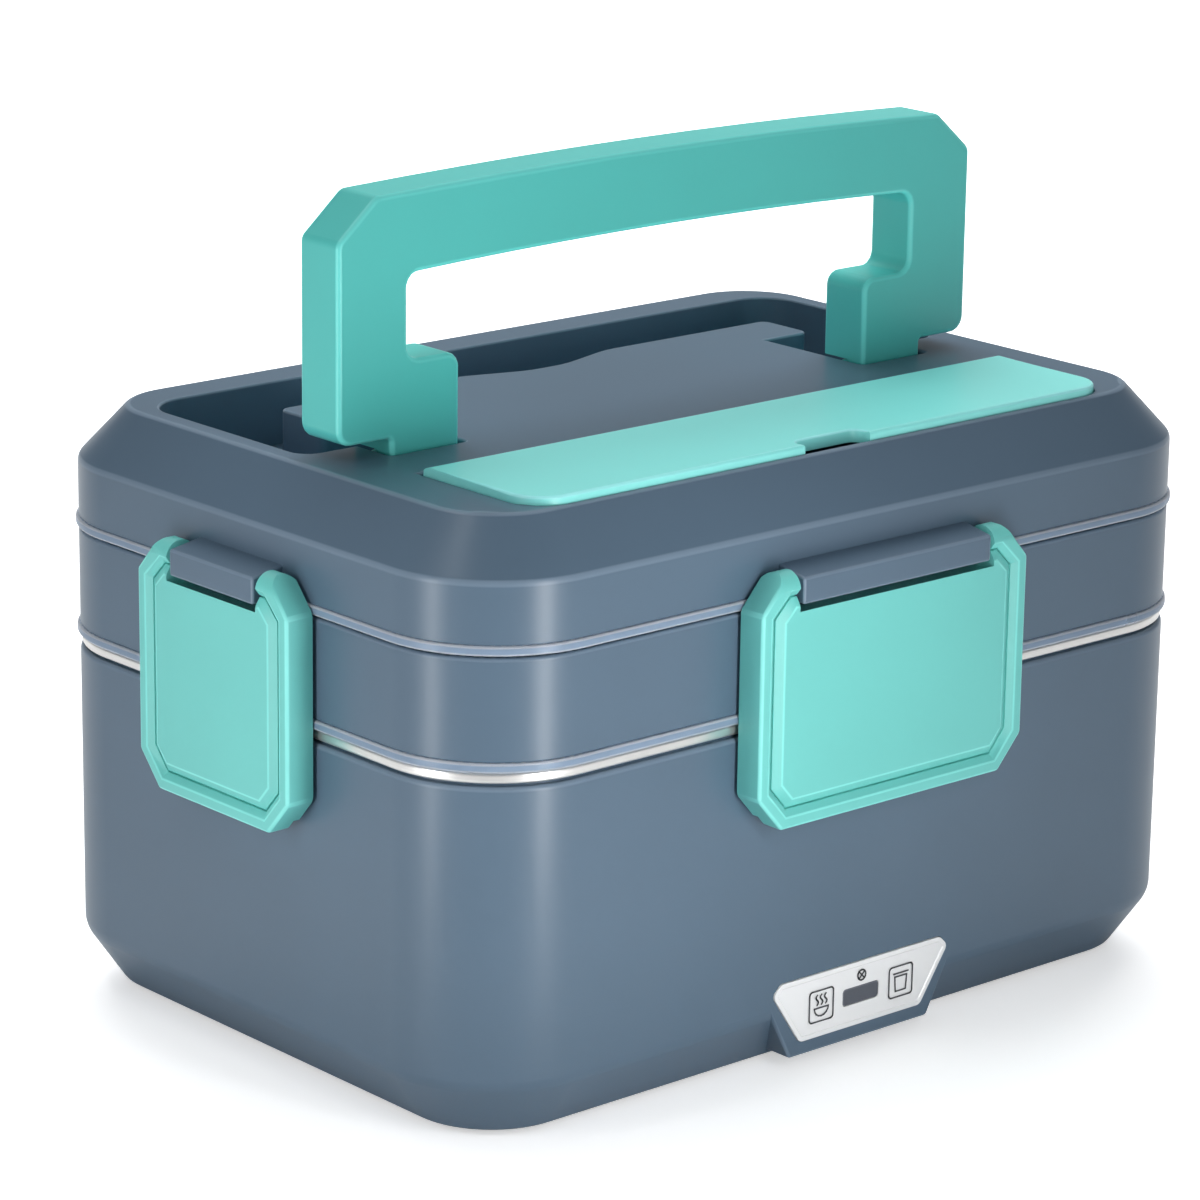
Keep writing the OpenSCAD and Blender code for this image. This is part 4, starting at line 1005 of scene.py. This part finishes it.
outer = arched(top_half, grip_top_z, outer_corner_r)
inner = arched(leg_half, grip_top_z - grip_h, inner_corner_r)[::-1]
right_leg = [
    (handle_half, grip_top_z - cut_h, outer_corner_r),
    (handle_half, handle_hinge_z + leg_end_h, leg_end_r),
    (foot_half, handle_hinge_z + leg_end_h, foot_corner_r),
    (foot_half, handle_hinge_z, 0),
    (step_half, handle_hinge_z, 0),
    (step_half, handle_hinge_z + step_h, inner_corner_r),
    (leg_half, handle_hinge_z + step_h, inner_corner_r)]
left_leg = [(-x, z, r) for x, z, r in reversed(right_leg)]
grip = drawn("grip", rounded(outer + right_leg + inner + left_leg), handle_front_y, handle_back_y)
soften(grip, handle_edge_r, lambda a, b: abs(a.y - b.y) < hair and max(a.z, b.z) > handle_hinge_z + hair)
for sx in (-1, 1):
    x_a, x_b = sorted((sx * step_half, sx * foot_half))
    foot_axis = ((x_a + x_b) / 2, handle_front_y + foot_r, handle_hinge_z)
    foot = rod(foot_r, (foot_half - step_half) / 2, foot_axis, 48)
    soften(foot, handle_edge_r, lambda a, b: abs(a.x - b.x) < hair)
    heel_clear = block("heel_clear", (x_a - past, handle_front_y + foot_r, handle_hinge_z - heel_drop),
                       (x_b + past, handle_back_y + heel_past, handle_hinge_z + foot_r))
    combine(grip, heel_clear, "DIFFERENCE")
    combine(grip, foot, "UNION")
smooth(grip)
deep_teal = moulded_plastic("deep_teal", (0.11, 0.65, 0.6), roughness=0.3, spread=0.03)
coat(grip, deep_teal, "teal_plastic", "handle", "handle")


# ---- Cutlery cover ----
# A flat hinged door in a paler teal closes the cutlery bay. It stands a little above the lid, has a
# finger notch in its front edge and a rounded back edge that turns in the lid.

cover_back_r = 2.3 * mm
cover_edge_r = 0.8 * mm
notch_half = 10.5 * mm
notch_depth = 5 * mm
notch_corner_r = 3 * mm
notch_edge_r = 0.6 * mm
barrel_r = 2 * mm
barrel_half = 89.2 * mm

cover = block("cover", (-cover_half, cover_front_y, cover_low_z), (cover_half, cover_back_y, cover_top_z))
round_uprights(cover, cover_corner_r, 8, lambda p: p.y < cover_hinge_y)
round_uprights(cover, cover_back_r, 6, lambda p: p.y > cover_hinge_y)
back_round = block("back_round", (-cover_half - past, cover_hinge_y, cover_hinge_z),
                   (cover_half + past, cover_back_y + past, cover_top_z + past))
back_rod = rod(cover_top_z - cover_hinge_z, cover_half + 2 * past, cover_axis, 64)
combine(back_round, back_rod, "DIFFERENCE")
combine(cover, back_round, "DIFFERENCE")
soften(cover, cover_edge_r, lambda a, b: at_height(cover_top_z)(a, b) and
       min(a.y, b.y) < cover_hinge_y - hair)
notch = block("notch", (-notch_half, cover_front_y - past, cover_low_z - past),
              (notch_half, cover_front_y + notch_depth, cover_top_z + past))
round_uprights(notch, notch_corner_r, 6, lambda p: p.y > cover_front_y)
combine(cover, notch, "DIFFERENCE")
soften(cover, notch_edge_r, lambda a, b: at_height(cover_top_z)(a, b) and
       max(abs(a.x), abs(b.x)) < notch_half + past and max(a.y, b.y) < cover_front_y + notch_depth + past)
combine(cover, rod(barrel_r, barrel_half, cover_axis, 40), "UNION")
smooth(cover)
pale_teal = moulded_plastic("pale_teal", (0.29, 0.9, 0.85), roughness=0.36, spread=0.03)
coat(cover, pale_teal, "cover_plastic", "cutlery_cover", "cutlery_cover")


# ---- Control panel ----
# A glossy white insert snaps into the front boss. It carries a dark lamp window and three printed line
# icons: a lamp, heat over a bowl, and a plain food box.

panel_lo, panel_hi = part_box("control_panel")
border_w = 0.9 * mm
border_step = 0.22 * mm
border_slope_w = 0.25 * mm
panel_edge_r = 0.2 * mm
lamp_corner_r = 0.9 * mm
lamp_edge_r = 0.3 * mm
panel = drawn("panel", panel_outline(0), panel_lo.y, panel_hi.y)
soften(panel, panel_edge_r, lambda a, b: max(a.y, b.y) < panel_lo.y + hair)
pick_faces(panel, facing_front)
bpy.ops.mesh.inset(thickness=border_w, depth=0)
bpy.ops.mesh.inset(thickness=border_slope_w, depth=-border_step)
bpy.ops.object.mode_set(mode="OBJECT")


def lamp_shape(name, grow, y0, y1):
    half_w, half_h = (lamp_hi.x - lamp_lo.x) / 2 + grow, (lamp_hi.z - lamp_lo.z) / 2 + grow
    middle_z = (lamp_hi.z + lamp_lo.z) / 2
    corners = [(half_w, middle_z + half_h), (half_w, middle_z - half_h),
               (-half_w, middle_z - half_h), (-half_w, middle_z + half_h)]
    return drawn(name, rounded([(x, z, lamp_corner_r) for x, z in corners]), y0, y1)


combine(panel, lamp_shape("lamp_way", lamp_gap, panel_lo.y - past, panel_hi.y + past), "DIFFERENCE")
smooth(panel)
gloss_white = moulded_plastic("gloss_white", (0.96, 0.965, 0.97), roughness=0.16, grain=0.004, spread=0.01)
coat(panel, gloss_white, "panel_plastic", "base", "control_panel")

lamp_window = lamp_shape("lamp_window", 0, lamp_lo.y, lamp_hi.y)
soften(lamp_window, lamp_edge_r, lambda a, b: max(a.y, b.y) < lamp_lo.y + hair)
smooth(lamp_window)
smoked = moulded_plastic("smoked", (0.105, 0.115, 0.14), roughness=0.12, grain=0.004, spread=0.04)
coat(lamp_window, smoked, "window_plastic", "base", "indicator_window")

icon_line = 0.36 * mm
icon_proud = 0.05 * mm
icon_sunk = 0.02 * mm
icon_y0 = panel_lo.y - icon_proud
icon_grey = moulded_plastic("icon_grey", (0.06, 0.062, 0.068), roughness=0.4, grain=0.004, spread=0.02)


def line_icon(name, strokes):
    """Printed line art: each stroke is a flat strip from one point to the next."""
    strips = []
    for stroke in strokes:
        for (x0, z0), (x1, z1) in zip(stroke, stroke[1:]):
            along = Vector((x1 - x0, z1 - z0)).normalized() * icon_line / 2
            across = Vector((-along.y, along.x))
            a, b = Vector((x0, z0)) - along, Vector((x1, z1)) + along
            corners = [tuple(a + across), tuple(a - across), tuple(b - across), tuple(b + across)]
            strips.append(drawn(name, corners, icon_y0, panel_lo.y + icon_sunk))
    nothing_selected()
    for strip in strips:
        strip.select_set(True)
    bpy.context.view_layer.objects.active = strips[0]
    bpy.ops.object.join()
    icon = bpy.context.object
    icon.name = name
    coat(icon, icon_grey, "window_plastic", "base")


icon_z = (lamp_lo.z + lamp_hi.z) / 2 + 0.2 * mm
icon_half = 3.9 * mm
icon_x = 13.2 * mm
icon_corner_r = 0.9 * mm
curve_steps = 8


def icon_frame(x):
    low, high = icon_z - icon_half, icon_z + icon_half
    corners = [(x - icon_half, low), (x + icon_half, low), (x + icon_half, high), (x - icon_half, high)]
    ring = rounded([(corner_x, z, icon_corner_r) for corner_x, z in corners])
    return ring + ring[:1]


bowl_r = 2.3 * mm
bowl_depth = 2.1 * mm
bowl_z = icon_z - 0.5 * mm
bowl = []
for i in range(curve_steps + 1):
    turn = math.pi + math.pi * i / curve_steps
    bowl.append((-icon_x + bowl_r * math.cos(turn), bowl_z + bowl_depth * math.sin(turn)))

heat_z = icon_z + 0.3 * mm
heat_h = 2.5 * mm
heat_apart = 1.4 * mm
heat_sway = 0.4 * mm
heat = []
for x in (-icon_x - heat_apart, -icon_x, -icon_x + heat_apart):
    heat.append([(x + heat_sway * math.sin(2 * math.pi * i / curve_steps), heat_z + heat_h * i / curve_steps)
                 for i in range(curve_steps + 1)])
line_icon("heat_icon", [icon_frame(-icon_x), bowl, [bowl[0], bowl[-1]]] + heat)

food_top_half = 2 * mm
food_low_half = 1.7 * mm
food_top_z = icon_z + 1.3 * mm
food_low_z = icon_z - 2.4 * mm
food_lid_half = 2.4 * mm
food_lid_z = icon_z + 2.1 * mm
food_box = [(icon_x - food_top_half, food_top_z), (icon_x - food_low_half, food_low_z),
            (icon_x + food_low_half, food_low_z), (icon_x + food_top_half, food_top_z)]
food_lid = [(icon_x - food_lid_half, food_lid_z), (icon_x + food_lid_half, food_lid_z)]
line_icon("box_icon", [icon_frame(icon_x), food_box + food_box[:1], food_lid])

lamp_mark_r = 1.3 * mm
lamp_mark_z = icon_z + 4.6 * mm
lamp_mark_steps = 16
lamp_mark = []
for i in range(lamp_mark_steps + 1):
    turn = 2 * math.pi * i / lamp_mark_steps
    lamp_mark.append((lamp_mark_r * math.cos(turn), lamp_mark_z + lamp_mark_r * math.sin(turn)))
line_icon("lamp_icon", [lamp_mark, [lamp_mark[2], lamp_mark[10]], [lamp_mark[6], lamp_mark[14]]])


# ---- Inner pieces ----
# What the shells hide: liner, heating plate, heaters, fuse, board, leads, screws, pins, the inlet, the
# bottom cover and the feet. They keep their own shape, and each gets the finish of its real material.

inner_finishes = {
    "liner_plastic": ((0.42, 0.47, 0.51), 0.45, 0),
    "inner_plastic": ((0.69, 0.73, 0.76), 0.4, 0),
    "aluminium_plate": ((0.55, 0.57, 0.58), 0.32, 1),
    "ceramic": ((0.48, 0.45, 0.38), 0.7, 0),
    "board": ((0.03, 0.14, 0.06), 0.3, 0),
    "led": ((0.88, 0.79, 0.58), 0.15, 0),
    "black_plastic": ((0.03, 0.037, 0.045), 0.45, 0),
    "lead_jacket": ((0.39, 0.034, 0.032), 0.4, 0),
    "cover_bottom": ((0.091, 0.133, 0.194), 0.5, 0),
    "foot_rubber": ((0.028, 0.035, 0.042), 0.8, 0),
    "screw_steel": ((0.66, 0.67, 0.68), 0.28, 1),
    "pin_steel": ((0.62, 0.64, 0.66), 0.2, 1),
}
finishes = {}
for slot_name, (colour, roughness, metal) in inner_finishes.items():
    finishes[slot_name] = moulded_plastic(slot_name + "_finish", colour, roughness)
    finishes[slot_name].node_tree.nodes["Principled BSDF"].inputs["Metallic"].default_value = metal
shown_otherwise = {"body_plastic", "teal_plastic", "cover_plastic", "polished_steel", "silicone",
                   "panel_plastic", "window_plastic"}
for subpart in frame["record"]["subparts"]:
    if subpart["material_slot"] in shown_otherwise:
        continue
    cad_piece = frame["nodes"][subpart["node"]]
    cad_piece.data.materials.clear()
    cad_piece.data.materials.append(finishes[subpart["material_slot"]])
